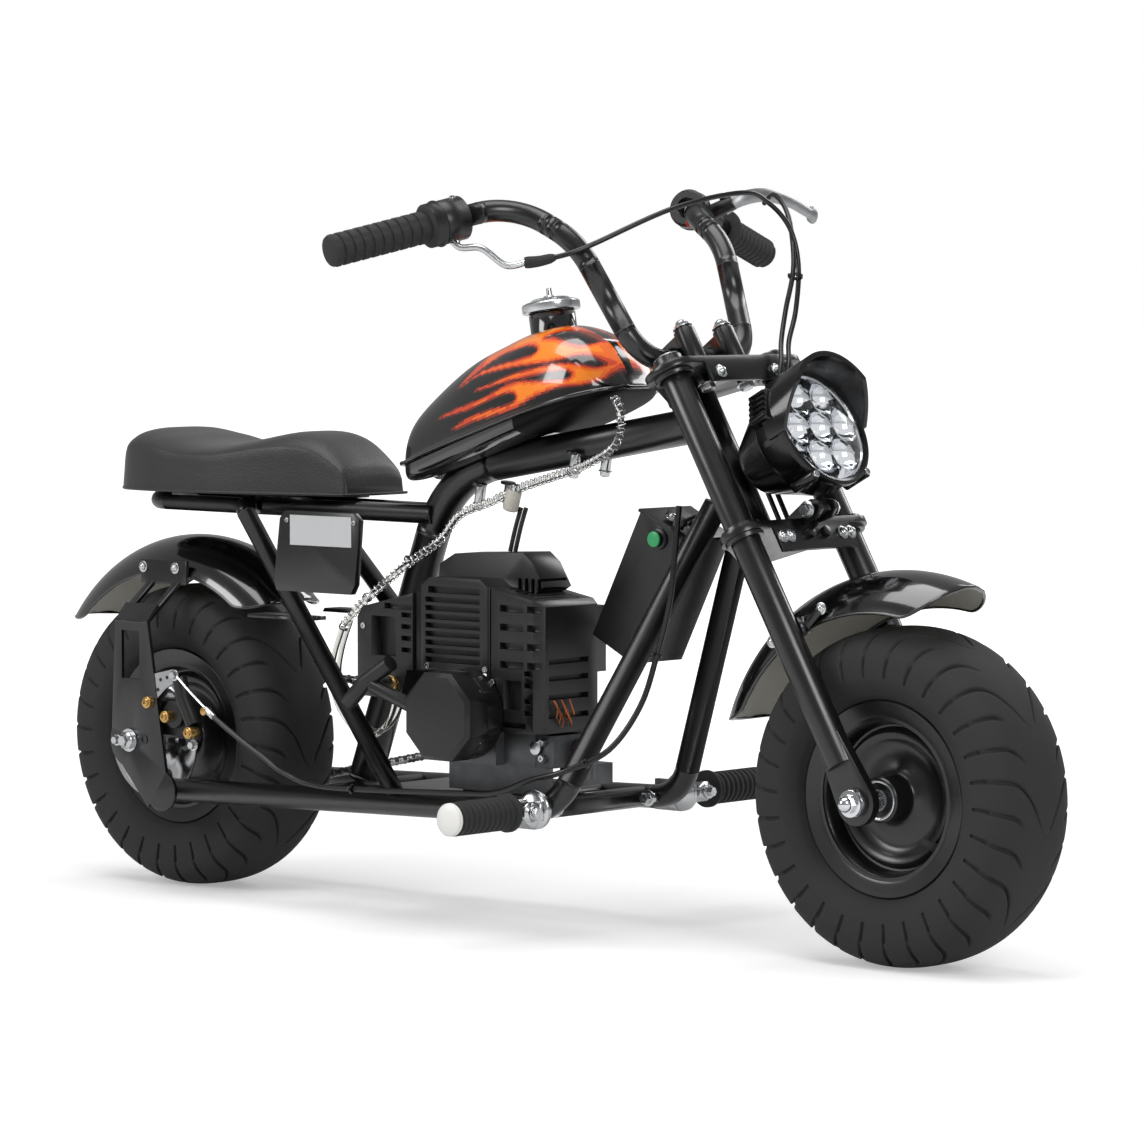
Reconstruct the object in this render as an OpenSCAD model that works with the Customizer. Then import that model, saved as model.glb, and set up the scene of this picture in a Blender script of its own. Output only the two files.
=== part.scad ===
// Kids' mini motorbike with a small pull-start engine, fat tyres and a teardrop tank.
// Sizes are in millimetres. Inside the modules X runs forward from the rear axle,
// Y runs to the rider's left and Z up from the ground; the whole bike is then moved
// so that the dip of the seat, where the rider sits, is the origin.

/* [Wheels] */
// Distance between the two axles
wheelbase = 980; // [940:1:1040]
// Outside diameter of both tyres
tyre_d = 330; // [320:1:340]
// Width of the tyres over their shoulders
tyre_w = 114; // [100:1:122]
// Diameter over the rim's flange
rim_d = 190; // [180:1:200]
// Width of the rim between its flange faces
rim_w = 78; // [64:1:84]
// Diameter of the wheel hub barrel
hub_d = 44; // [38:1:50]
// Diameter of both axles
axle_d = 12; // [10:0.5:14]
// Length of the hub barrel between its end faces
hub_w = 96; // [88:1:104]

/* [Steering] */
// Angle between the steering axis and the vertical
rake = 30; // [27:0.5:32]
// Distance from the steering axis forward to the fork legs
fork_offset = 45; // [42:1:48]
// Diameter of the fork legs
leg_d = 30; // [26:1:32]
// Distance between the centre lines of the fork legs
leg_gap = 156; // [152:1:164]
// Height of the lower clamp up the legs from the axle
lower_clamp_z = 289; // [284:1:294]
// Height of the upper clamp up the legs from the axle
upper_clamp_z = 470; // [462:1:478]
// Thickness of the clamp plates
clamp_t = 7; // [5:0.5:9]
// Diameter of the steering stem
stem_d = 25; // [22:1:26]
// Outside diameter of the head tube
head_tube_d = 40; // [38:1:44]

/* [Handlebar] */
// Diameter of the handlebar tube
bar_d = 22; // [20:1:24]
// Height of the handlebar's middle above the upper clamp
bar_lift = 28; // [26:1:32]
// Rise of the handlebar from its middle to its shoulders
bar_rise = 197; // [180:1:210]
// Half the width between the shoulders of the handlebar
bar_shoulder = 131; // [124:1:138]
// Half the width over the grip ends
bar_half_w = 327; // [310:1:335]
// How far the grips sweep back from the shoulders
bar_sweep = 75; // [60:1:90]
// Length of each grip
grip_len = 112; // [100:1:120]
// Diameter of each grip
grip_d = 33; // [30:1:36]

/* [Frame] */
// Diameter of the cradle tubes
tube_d = 25; // [22:1:28]
// Diameter of the backbone tube
backbone_d = 36; // [32:1:40]
// Diameter of the seat rails and stays
stay_d = 20; // [18:1:22]
// Height of the lower rails' centre line at the front
rail_z = 129; // [124:1:134]
// Half the distance between the lower rails
rail_y = 98; // [94:1:101]
// Thickness of the plates that hold the rear axle
dropout_t = 4; // [3:0.5:5]
// Thickness of the engine plate
engine_plate_t = 4; // [3:0.5:6]

/* [Seat and tank] */
// Height of the seat's flat base above the inside of the rear fender
seat_over_fender = 53; // [46:1:60]
// Length of the seat
seat_len = 324; // [310:1:340]
// Half the seat's width at its widest
seat_half_w = 86; // [76:1:92]
// Half the seat's width at its nose
seat_nose_w = 44; // [38:1:52]
// Half the tank's width at its widest
tank_half_w = 68; // [60:1:74]
// Diameter of the tank's filler neck
neck_d = 48; // [42:1:52]
// Diameter of the fuel cap
cap_d = 60; // [54:1:64]
// Height of the filler neck above the tank's crown
neck_h = 26; // [20:1:30]

/* [Fenders] */
// Gap between the tyres and the inside of both fenders
fender_gap = 51; // [44:1:58]
// Thickness of the fenders
fender_t = 3; // [2:0.5:4]
// Half the fenders' width
fender_half_w = 58; // [54:1:60]
// Depth of the fenders' rolled sides
fender_side = 38; // [30:1:44]

/* [Engine] */
// Half the width of the crankcase
case_half_w = 56; // [50:1:58]
// Diameter of the pull starter's cover
starter_d = 96; // [88:1:100]
// Width of each slot in the shroud
slot_h = 5.5; // [4:0.5:7]

/* [Lamp] */
// Diameter of the headlight's bowl
lamp_d = 121; // [116:1:126]
// Upward tilt of the headlight
lamp_tilt = 28; // [20:1:32]
// Depth of the headlight's bowl
lamp_deep = 88; // [80:1:94]

/* [Footpegs] */
// Length of each footpeg's rubber
peg_len = 84; // [76:1:92]
// Diameter of each footpeg's rubber
peg_d = 34; // [30:1:38]
// Distance from the middle of the bike to the footpeg hinge
peg_hinge_y = 134; // [130:1:140]

/* [Hidden] */
$fn = 48;
// Gap between faces of pieces that lie against each other
seat_gap = 0.3;
// Running gap round a shaft
run_gap = 0.05;
tyre_r = tyre_d / 2;
axle_r = axle_d / 2;
bar_r = bar_d / 2;
leg_r = leg_d / 2;
rail_r = tube_d / 2;
// The rider's place on the seat, which becomes the origin
rider_x = 80;
fender_r = tyre_r + fender_gap;
seat_base_z = tyre_r + fender_r + seat_over_fender;
rider_z = seat_base_z + 53;
// The backbone's corners: X and Z
// A point of the steering's own frame in the bike's X and Z
function steer_xz(x, z) = [wheelbase + x * cos(rake) - z * sin(rake), tyre_r + x * sin(rake) + z * cos(rake)];
backbone_path = [steer_xz(-fork_offset, upper_clamp_z - 34), [372, seat_base_z + 28], [247.5, rail_z + 3]];
// The lower rail's two ends and the top of the down tube, on the left
dropout_y = 107;
rail_back = [34, dropout_y - rail_r - seat_gap, 113];
down_foot = [wheelbase - 374, rail_y, rail_z];
down_join = steer_xz(-fork_offset - 10, lower_clamp_z + 61.5);
down_top = [down_join.x, 25, down_join.y];

// Small helpers

function unit(v) = v / norm(v);

// Turns local Z to lie along v
module aim(v) {
    rotate([0, acos(v.z / norm(v)), atan2(v.y, v.x)]) children();
}

// A round bar from a to b
module bar(a, b, r) {
    translate(a) aim(b - a) cylinder(r = r, h = norm(b - a));
}

// The length that a bend of radius bend takes from each side of the corner b
function bend_cut(a, b, c, bend) =
    let (half = acos((unit(a - b)) * (unit(c - b))) / 2) bend / tan(half);

// The round elbow at the corner b between a and c
module elbow(a, b, c, bend, r) {
    u = unit(a - b);
    w = unit(c - b);
    corner = acos(u * w);
    start = b + u * bend / tan(corner / 2);
    centre = b + unit(u + w) * bend / sin(corner / 2);
    e1 = unit(start - centre);
    e2 = -u;
    n = cross(e1, e2);
    multmatrix([[e1.x, e2.x, n.x, centre.x],
                [e1.y, e2.y, n.y, centre.y],
                [e1.z, e2.z, n.z, centre.z],
                [0, 0, 0, 1]])
        rotate_extrude(angle = 180 - corner) translate([bend, 0]) circle(r);
}

// A thin weld ring round a tube at p, along t
module weld_ring(p, t, r) {
    bar(p - t * 0.8, p + t * 0.8, r + 0.1);
}

// A tube bent round the corners of a path, each with its own bend radius
module bent_tube(path, bends, r) {
    last = len(path) - 1;
    for (i = [0 : last - 1]) {
        a = path[i];
        b = path[i + 1];
        t = unit(b - a);
        from = i == 0 ? 0 : bend_cut(path[i - 1], a, b, bends[i - 1]);
        to = i == last - 1 ? 0 : bend_cut(a, b, path[i + 2], bends[i]);
        bar(a + t * (from + (i == 0 ? 0 : 0.3)), b - t * (to + (i == last - 1 ? 0 : 0.3)), r);
        if (i > 0) weld_ring(a + t * from, t, r);
        if (i < last - 1) weld_ring(b - t * to, t, r);
    }
    for (i = [1 : last - 1])
        elbow(path[i - 1], path[i], path[i + 1], bends[i - 1], r);
}

// A box between two corners
module block(low, high) {
    translate(low) cube(high - low);
}

// A disc or drum lying along Y, from y0 to y1
module drum(x, z, r, y0, y1) {
    translate([x, y0, z]) rotate([-90, 0, 0]) cylinder(r = r, h = y1 - y0);
}

// A plate cut to an outline in X and Z, from y0 to y1
module side_plate(y0, y1) {
    translate([0, y1, 0]) rotate([90, 0, 0]) linear_extrude(y1 - y0) children();
}

// Moves from the steering's own frame (Z up the legs from the front axle) to the bike's
module steer() {
    translate([wheelbase, 0, tyre_r]) rotate([0, -rake, 0]) children();
}

// A piece and its mirror image on the other side of the bike
module both_sides() {
    children();
    mirror([0, 1, 0]) children();
}

module place() {
    translate([-rider_x, 0, -rider_z]) children();
}

// A closed skin over rings of points, one ring after another
module skin(rings) {
    n = len(rings[0]);
    m = len(rings);
    pts = [for (ring = rings) for (p = ring) p];
    sides = [for (i = [0 : m - 2]) for (j = [0 : n - 1])
        [i * n + j, i * n + (j + 1) % n, (i + 1) * n + (j + 1) % n, (i + 1) * n + j]];
    first = [for (j = [n - 1 : -1 : 0]) j];
    final = [for (j = [0 : n - 1]) (m - 1) * n + j];
    polyhedron(points = pts, faces = concat([first], sides, [final]), convexity = 8);
}

// A round tube swept along a smooth route of points
function smooth(p, steps) = [for (i = [0 : len(p) - 2]) for (s = [0 : steps - 1])
    let (t = s / steps,
         p0 = p[max(i - 1, 0)], p1 = p[i], p2 = p[i + 1], p3 = p[min(i + 2, len(p) - 1)])
    0.5 * ((2 * p1) + (p2 - p0) * t + (2 * p0 - 5 * p1 + 4 * p2 - p3) * t * t
        + (3 * p1 - p0 - 3 * p2 + p3) * t * t * t)];
function route(p, steps) = concat(smooth(p, steps), [p[len(p) - 1]]);

module swept(p, r, sides = 8) {
    n = len(p);
    function along(i) = unit(p[min(i + 1, n - 1)] - p[max(i - 1, 0)]);
    skin([for (i = [0 : n - 1])
        let (t = along(i), s = unit(cross(t, abs(t.y) < 0.9 ? [0, 1, 0] : [1, 0, 0])), v = cross(s, t))
        [for (k = [0 : sides - 1]) p[i] + r * (cos(360 * k / sides) * s + sin(360 * k / sides) * v)]]);
}

// Frame

module backbone_tube(r) {
    bent_tube([for (p = backbone_path) [p.x, 0, p.y]], [120], r);
}

module head_tube(r) {
    steer() translate([-fork_offset, 0, lower_clamp_z + clamp_t / 2 + 2])
        cylinder(r = r, h = upper_clamp_z - lower_clamp_z - clamp_t - 4);
}

module backbone() color("#1a1a1c") {
    difference() {
        union() {
            backbone_tube(backbone_d / 2);
            head_tube(head_tube_d / 2);
        }
        steer() translate([-fork_offset, 0, lower_clamp_z])
            cylinder(d = stem_d + 2 * run_gap, h = upper_clamp_z - lower_clamp_z);
    }
}

// One side of the cradle: lower rail, bend and down tube
module cradle_tube(r) {
    bent_tube([rail_back, down_foot, down_top], [60], r);
}

module cradle() {
    difference() {
        cradle_tube(rail_r);
        head_tube(head_tube_d / 2 + seat_gap);
    }
}

module cradle_left() color("#1a1a1c") cradle();
module cradle_right() color("#1a1a1c") mirror([0, 1, 0]) cradle();

function rail_at(x) = rail_back + (down_foot - rail_back) * (x - rail_back.x) / (down_foot.x - rail_back.x);

// The cross tube that carries the backbone's foot
cross_r = 11;
foot_x = backbone_path[2].x - 3;
module foot_tube(r) {
    drum(foot_x, rail_at(foot_x).z, r, -rail_at(foot_x).y, rail_at(foot_x).y);
}

plate_x = [318, 520];
plate_top = rail_at(plate_x[0]).z + cross_r - 2;
peg_x = down_foot.x - 46;

module cross_members() color("#1a1a1c") {
    difference() {
        union() {
            foot_tube(cross_r);
            drum(peg_x, rail_at(peg_x).z, cross_r, -rail_y, rail_y);
            block([plate_x[0], -rail_y + 28, plate_top],
                [plate_x[1], rail_y - 28, plate_top + engine_plate_t]);
            for (x = [plate_x[0] + 20, plate_x[1] - 20])
                drum(x, rail_at(x).z, cross_r, -rail_y, rail_y);
        }
        both_sides() cradle_tube(rail_r + seat_gap);
    }
}

// Seat rails, from the backbone back under the seat
seat_rail_y = 34;
seat_rail_z = seat_base_z - stay_d / 2 - seat_gap - 2;
seat_rail_x = [-48, 362];

function seat_rail_path() = [[seat_rail_x[1], 16, seat_rail_z - 4], [seat_rail_x[0], seat_rail_y, seat_rail_z],
    [seat_rail_x[0], -seat_rail_y, seat_rail_z], [seat_rail_x[1], -16, seat_rail_z - 4]];

module seat_rails() color("#1a1a1c") {
    difference() {
        union() {
            bent_tube(seat_rail_path(), [26, 26], stay_d / 2);
            // strips that the seat is screwed to
            for (x = [20, 190])
                block([x - 18, -seat_rail_y - 14, seat_rail_z + stay_d / 2 - 3],
                    [x + 18, seat_rail_y + 14, seat_base_z - seat_gap]);
        }
        backbone_tube(backbone_d / 2 + seat_gap);
    }
}

// The stays that hold the seat up: from the seat rails down and forward to the lower rails
stay_top = [120, seat_rail_y + stay_d / 2 + 13, seat_rail_z];
stay_foot = [392, rail_at(392).y, rail_at(392).z];

module stay_tube(r) {
    bent_tube([stay_foot, stay_top, [stay_top.x, seat_rail_y - 8, stay_top.z]], [13], r);
}

module seat_stays() color("#1a1a1c") {
    difference() {
        both_sides() stay_tube(stay_d / 2);
        both_sides() cradle_tube(rail_r + seat_gap);
        bent_tube(seat_rail_path(), [26, 26], stay_d / 2 + seat_gap);
    }
}

// The plate that holds the rear axle, welded outside the lower rail's end
bracket_top = 296;
tab_z = tyre_r + fender_r - 35;
tab_y = fender_half_w + seat_gap;

module dropout() {
    y = [dropout_y, dropout_y + dropout_t];
    difference() {
        union() {
            side_plate(y[0], y[1]) {
                translate([0, tyre_r]) circle(30);
                translate([rail_back.x + 14, rail_back.z]) circle(22);
                polygon([[-28, 178], [-22, bracket_top], [28, bracket_top], [56, 134], [28, 94], [-16, 142]]);
            }
            // the part that leans in to the fender
            for (x = [-22, 18])
                bar_plate(x, [y[0] + dropout_t / 2, bracket_top - 2], [tab_y + dropout_t / 2, tab_z - 12], 10);
            bar_plate(-22, [y[0] + dropout_t / 2, bracket_top - 2], [y[0] - 12, bracket_top + 14], 50);
            block([-32, tab_y, tab_z - 14], [38, tab_y + dropout_t, tab_z + 12]);
        }
        side_plate(y[0] - 1, y[1] + 1) polygon([[-12, 232], [-12, 284], [16, 284], [16, 232]]);
        drum(0, tyre_r, axle_r + seat_gap, 0, 200);
    }
}

// A strip between two points in Y and Z, from x forward by w
module bar_plate(x, from, to, w) {
    d = unit(to - from) * dropout_t / 2;
    n = [-d.y, d.x];
    translate([x, 0, 0]) rotate([90, 0, 90]) linear_extrude(w)
        polygon([from - n - d, to - n + d, to + n + d, from + n - d]);
}

module dropout_left() color("#1a1a1c") dropout();
module dropout_right() color("#1a1a1c") mirror([0, 1, 0]) dropout();

// Seat: X, height of the crown above the base, half width
seat_front = 263;
seat_back = seat_front - seat_len;
seat_table = [
    [0, 14, 0.64], [0.02, 44, 0.78], [0.08, 66, 0.92], [0.2, 62, 1], [0.33, 54, 1], [0.47, 53, 0.98],
    [0.6, 59, 0.88], [0.75, 67, 0.72], [0.86, 60, 0.6], [0.96, 38, 0.52], [1, 14, 0.48]];

module seat() color("#1b1b1d") {
    side = 37;
    skin([for (row = seat_table)
        let (x = seat_back + row[0] * seat_len,
             w = max(seat_nose_w * row[2] / 0.52, seat_half_w * row[2]) > 0
                 ? seat_nose_w + (seat_half_w - seat_nose_w) * (row[2] - 0.48) / 0.52 : 0,
             edge = min(side, row[1] * 0.6))
        [for (k = [0 : 16])
            let (a = 180 * k / 16)
            k == 0 ? [x, w, seat_base_z] : k == 16 ? [x, -w, seat_base_z]
                : [x, w * cos(a) * (abs(cos(a)) < 0.02 ? 0 : pow(abs(cos(a)), -0.35)),
                   seat_base_z + edge * min(1, 3 * sin(a)) + (row[1] - edge) * pow(sin(a), 0.8)]]]);
}

// Fuel tank: share of its length from the rear, top and bottom above the seat's base,
// half width as a share of the widest
tank_x = [322, backbone_path[0].x - 92];
tank_rows = [
    [0, 38, 30, 0.14], [0.016, 60, 21, 0.30], [0.05, 84, 17, 0.40], [0.167, 113, 24, 0.55],
    [0.33, 144, 40, 0.73], [0.5, 165, 57, 0.88], [0.62, 177, 69, 0.96], [0.74, 182, 82, 1],
    [0.86, 172, 97, 0.95], [0.932, 154, 107, 0.78], [0.98, 132, 115, 0.48], [1, 124, 121, 0.18]];
tank_table = [for (row = tank_rows) [tank_x[0] + row[0] * (tank_x[1] - tank_x[0]), seat_base_z + row[1],
    seat_base_z + row[2], row[3]]];
function tank_seam(x) = seat_base_z + 34 + (x - 321) * tan(15.8);
neck_at = [522, 0, seat_base_z + 156];

module fuel_tank() color("#111113") {
    difference() {
        union() {
            skin([for (row = tank_table)
                let (w = row[3] * tank_half_w, seam = min(max(tank_seam(row[0]), row[2] + 2), row[1] - 2))
                [for (k = [0 : 27])
                    let (a = 360 * k / 28, c = cos(a), s = sin(a),
                         e = s >= 0 ? 0.86 : 0.5)
                    [row[0], w * (c < 0 ? -1 : 1) * pow(abs(c), e == 0.5 ? 0.45 : 0.8),
                        s >= 0 ? seam + (row[1] - seam) * pow(abs(s), e)
                               : seam - (seam - row[2]) * pow(abs(s), e)]]]);
            // the rolled seam between the two shells
            skin([for (row = tank_table)
                let (w = row[3] * tank_half_w + 4, z = tank_seam(row[0]))
                [[row[0] - 2, w, z - 1.2], [row[0] - 2, w, z + 1.2], [row[0] - 2, -w, z + 1.2],
                    [row[0] - 2, -w, z - 1.2]]]);
            translate(neck_at) rotate([0, -10, 0]) cylinder(d = neck_d, h = neck_h + 14, $fn = 32);
        }
        hull() for (z = [0, -60]) translate([0, 0, z])
            bar([backbone_path[1].x - 20, 0, backbone_path[1].y - 4], [backbone_path[0].x, 0, backbone_path[0].y],
                backbone_d / 2 + 1.5, $fn = 24);
        backbone_tube(backbone_d / 2 + 1.5, $fn = 24);
    }
}

module fuel_cap() color("#3a3a3d") {
    translate(neck_at) rotate([0, -10, 0]) translate([0, 0, neck_h + 14 + seat_gap]) {
        cylinder(d = cap_d, h = 9);
        translate([0, 0, 9]) cylinder(d1 = cap_d, d2 = cap_d - 8, h = 2);
        translate([0, 0, 11]) cylinder(d = cap_d - 18, h = 3);
        translate([0, 0, 14]) cylinder(d = 12, h = 3);
        translate([0, 0, 17]) cylinder(d = 6, h = 8);
    }
}

// Fenders: a crowned shell about an axle, from one angle to another
module fender_shell(from, sweep) {
    bow = (fender_half_w * fender_half_w + fender_side * fender_side) / (2 * fender_side);
    rotate([90, 0, 0]) rotate([0, 0, from]) rotate_extrude(angle = sweep)
        intersection() {
            translate([fender_r + fender_t - bow, 0]) difference() {
                circle(bow, $fn = 64);
                circle(bow - fender_t, $fn = 64);
            }
            translate([fender_r + fender_t - fender_side, -fender_half_w])
                square([fender_side + 10, 2 * fender_half_w]);
        }
}

module rear_fender() color("#1c1c1f") translate([0, 0, tyre_r]) fender_shell(45, 100);
module front_fender() color("#1c1c1f") steer() fender_shell(41, 92);

// Straps that hold the rear fender's front end to the seat stays
module rear_fender_bracket() color("#1a1a1c") both_sides() difference() {
    end = (fender_r + fender_t) * cos(45) - 14;
    block([end, 44, tyre_r + end - 3], [end + 92, 70, tyre_r + end + 1]);
    stay_tube(stay_d / 2 + seat_gap);
    translate([0, 0, tyre_r]) fender_shell(44.6, 60);
}

// Engine, from the carburettor's cover at the rear to the exhaust's cover at the front
engine_x = [331, 422, 515, 585];
cover_y = -97;
tray_z = 170;

module tray() {
    low = rail_z + cross_r + 0.6;
    translate([0, 0, low]) linear_extrude(tray_z - low)
        polygon([[436, -70], [579, -70], [517, 0], [436, 0]]);
    block([446, -60, plate_top + engine_plate_t + seat_gap], [486, -10, low + 1]);
}

module engine_block() color("#8d8d91") {
    gap = 0.5;
    tray();
    // crankcase, clutch drum and the shaft with the drive sprocket
    block([440, -84, tray_z - 0.1], [engine_x[2] - gap, 34, 204]);
    block([engine_x[2] - gap - 1, -72, tray_z - 0.1], [558, 24, 205]);
    drum(486, 222, 28, cover_y + gap, 40);
    drum(drive_x + 26, 214, 34, 0, 56);
    drum(drive_x, drive_z, 9, 20, sprocket_y + 10);
    sprocket(drive_x, drive_z, drive_teeth);
    // cylinder with its cooling fins
    drum_up(480, -20, 204, 262 - gap, 28);
    for (k = [0 : 4]) block([446, -56, 212.3 + k * 9], [engine_x[2] - gap, 26, 215.3 + k * 9]);
    for (x = [452, 504]) for (y = [-72, 22]) drum_up(x, y, 196, 209, 6);
}

module drum_up(x, y, z0, z1, r) {
    translate([x, y, z0]) cylinder(r = r, h = z1 - z0);
}

// A row of slots in a face that looks along -Y
module slots(x0, x1, z0, pitch, count, h, deep) {
    for (k = [0 : count - 1])
        block([x0, cover_y - 1, z0 + k * pitch], [x1, cover_y + deep, z0 + h + k * pitch]);
}

module engine_shroud() color("#141416") {
    x = engine_x;
    difference() {
        union() {
            // fan grille
            side_plate(cover_y, 22) polygon([[x[1] + 0.3, 264], [x[1] + 0.3, 350], [434, 359], [504, 359],
                [x[2], 351], [x[2], 264]]);
            // exhaust cover, whose top slopes to the front
            side_plate(cover_y + 1, -8) polygon([[x[2], 206], [x[2], 264.5], [x[2] - 2, 264.5],
                [x[2] - 2, 352], [x[3] - 6, 340], [x[3], 334], [x[3], 206]]);
            // spark plug cover
            side_plate(-62, -20) polygon([[414, 357], [416, 371], [437, 382], [531, 386], [545, 376], [560, 352],
                [540, 340], [440, 340]]);
            block([x[2] - 8, -8.1, 262], [x[3] - 22, 30, 330]);
        }
        slots(428, 504, 272, 8.8, 8, slot_h, 9);
        slots(432, 504, 343, 8.8, 1, 7, 9);
        slots(531, 563, 271, 19, 4, slot_h + 1.5, 9);
        slots(568, 582, 271, 19, 4, slot_h + 1.5, 9);
        slots(531, 566, 211, 12, 1, slot_h, 9);
        slots(536, 560, 229, 40, 1, 30, 12);
        for (z = [224, 236, 252, 264]) slots(564, 576, z, 10, 1, 5, 9);
        // slots in the front face
        for (z = [271, 290, 309, 326]) block([x[3] - 8, -82, z - 50], [x[3] + 1, -22, z - 50 + slot_h]);
        // louvres in the top
        for (k = [0 : 5]) block([525 + k * 9, -78, 330], [529.5 + k * 9, -22, 360]);
        // gap between the fan's and the exhaust's covers
        block([x[2] + 2, cover_y - 1, 200], [x[2] + 4, cover_y + 3, 360]);
        // bevelled edges
        translate([x[3], cover_y, 150]) rotate([0, 0, 45]) cube([14, 14, 500], center = true);
        translate([x[3], cover_y, 350]) rotate([0, 0, 45]) cube([14, 14, 300], center = true);
    }
}

module air_box() color("#18181a") {
    x = engine_x;
    difference() {
        side_plate(cover_y, -30)
            polygon([[x[0], 232], [x[0], 314], [338, 325], [x[1], 344], [x[1], 262], [402, 262], [392, 232]]);
        slots(351, 386, 275, 40, 1, 41, 14);
        slots(370, 409, 324, 40, 1, 6, 8);
        for (z = [280, 292, 304, 316]) slots(394, 408, z, 10, 1, 5, 8);
        block([410, cover_y - 1, 262], [x[1] + 1, cover_y + 6, 344]);
    }
    // choke lever and the brass jet's holder
    drum(378, 250, 7, cover_y - 8, cover_y);
    drum(378, 250, 3, cover_y - 14, cover_y - 8);
}

module pull_starter() color("#18181a") {
    face = -148;
    step = -118;
    translate([490, 0, 222]) {
        drum(0, 0, starter_d / 2 - 2, step, cover_y - seat_gap);
        rotate([90, 0, 0]) rotate([0, 0, 22.5]) {
            translate([0, 0, -step - 0.1]) cylinder(d = starter_d, h = step - face - 3.9, $fn = 8);
            translate([0, 0, -face - 4.1]) cylinder(d1 = starter_d, d2 = starter_d - 9, h = 4, $fn = 8);
        }
    }
    // rope guide, stem and T handle
    bar([456, -134, 226], [390, -134, 247], 7.5);
    bar([354, -134, 228], [380, -134, 252], 8.5);
    bar([379, -134, 251], [414, -134, 272], 8.5);
}

module exhaust() color("#b5b5b8") {
    block([558.5, -72, tray_z + seat_gap], [583, -10, 203]);
    block([558.5, -36, 150], [588, 12, tray_z + 1]);
    bar([583.9, -36, 188], [598, -36, 186], 10);
    bar([597, -36, 192], [597, -36, 158], 8);
    for (z = [179, 196]) drum(571, z, 4, -77, -71.9);
}

// Electrical box behind the down tubes, with its start button, plugs and hanger
box_at = [down_top.x - 93, 0, down_top.z - 85];
box_half = 38;
module box_frame() translate(box_at) rotate([0, 27, 0]) children();

module control_box() color("#2a2a2d") {
    difference() {
        union() {
            box_frame() translate([-30, -box_half, -72]) cube([60, 2 * box_half, 144]);
            box_frame() translate([-32, -box_half - 2, 69]) cube([64, 2 * box_half + 4, 3]);
        }
        both_sides() cradle_tube(rail_r + seat_gap);
    }
    box_frame() {
        translate([4, -26, 72]) cube([22, 12, 7]);
        translate([-22, -8, 72]) cube([30, 16, 6]);
        translate([4, -box_half + 0.1, 57]) rotate([90, 0, 0]) cylinder(r = 11, h = 3);
        translate([4, -box_half - 2.8, 57]) rotate([90, 0, 0]) cylinder(r = 8, h = 5);
    }
}

module side_panel() color("#161618") {
    side_plate(-90, -82)
        polygon([[205, 335], [201, 345], [210, 412], [218, 420], [318, 420], [326, 412], [320, 345], [314, 335]]);
}

module rear_axle() color("#c4c4c6") {
    drum(0, tyre_r, axle_r, -dropout_y - dropout_t - 9, dropout_y + dropout_t + 7.2 + 12);
    both_sides() {
        translate([0, dropout_y + dropout_t + 0.2, tyre_r]) rotate([-90, 0, 0]) cylinder(r = 10, h = 7, $fn = 6);
        drum(0, tyre_r, 9, hub_w / 2 + 0.4, dropout_y - 0.2);
    }
}

// Brake disc on the right of the rear wheel, chain sprocket on the left
disc_y = -74;
disc_t = 3;
disc_r = 66;
sprocket_y = 67;
module brake_disc() color("#a8a8ab") {
    difference() {
        union() {
            drum(0, tyre_r, disc_r, disc_y - disc_t / 2, disc_y + disc_t / 2);
            drum(0, tyre_r, 24, disc_y + disc_t / 2, -hub_w / 2 - 0.2);
        }
        drum(0, tyre_r, 12, disc_y - 10, 0);
        for (a = [0 : 60 : 300]) rotate_about(a) translate([45, 0, 0])
            rotate([90, 0, 0]) cylinder(r = 7, h = 40, center = true);
    }
}
module rotate_about(a) {
    translate([0, disc_y, tyre_r]) rotate([0, a, 0]) children();
}

module brake_caliper() color("#8f8f93") {
    difference() {
        block([30, -100, 168], [86, disc_y + 20, 214]);
        drum(0, tyre_r, disc_r + 3, disc_y - disc_t / 2 - 1, disc_y + disc_t / 2 + 1);
    }
}

// Chain: the loop's pitch line runs round the rear and the drive sprocket
chain_pitch = 12.7;
rear_teeth = 33;
drive_teeth = 9;
drive_x = 434;
drive_z = 205;
roller_r = 3;
function pitch_r(teeth) = chain_pitch * teeth / (2 * PI);

// The outline at distance out from the pitch line
module chain_band(out) {
    big = pitch_r(rear_teeth) + out;
    small = pitch_r(drive_teeth) + out;
    a = [0, tyre_r];
    b = [drive_x, drive_z];
    lean = atan2(b.y - a.y, b.x - a.x);
    side = acos((big - small) / norm(b - a));
    translate(a) circle(big);
    translate(b) circle(small);
    polygon([for (q = [[a, big, 1], [b, small, 1], [b, small, -1], [a, big, -1]])
        q[0] + q[1] * [cos(lean + q[2] * side), sin(lean + q[2] * side)]]);
}

// Half the height of a link's side plate: full at the pins, waisted between them
function link_half(t) = 3.6 + 1.1 * cos(360 * t);
function run_point(s, t, out) =
    let (big = pitch_r(rear_teeth), small = pitch_r(drive_teeth), a = [0, tyre_r], b = [drive_x, drive_z],
         lean = atan2(b.y - a.y, b.x - a.x), side = acos((big - small) / norm(b - a)),
         n = [cos(lean + s * side), sin(lean + s * side)])
    (a + big * n) * (1 - t) + (b + small * n) * t + out * n;
run_links = round(norm([drive_x, drive_z - tyre_r]) / chain_pitch);

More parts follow.
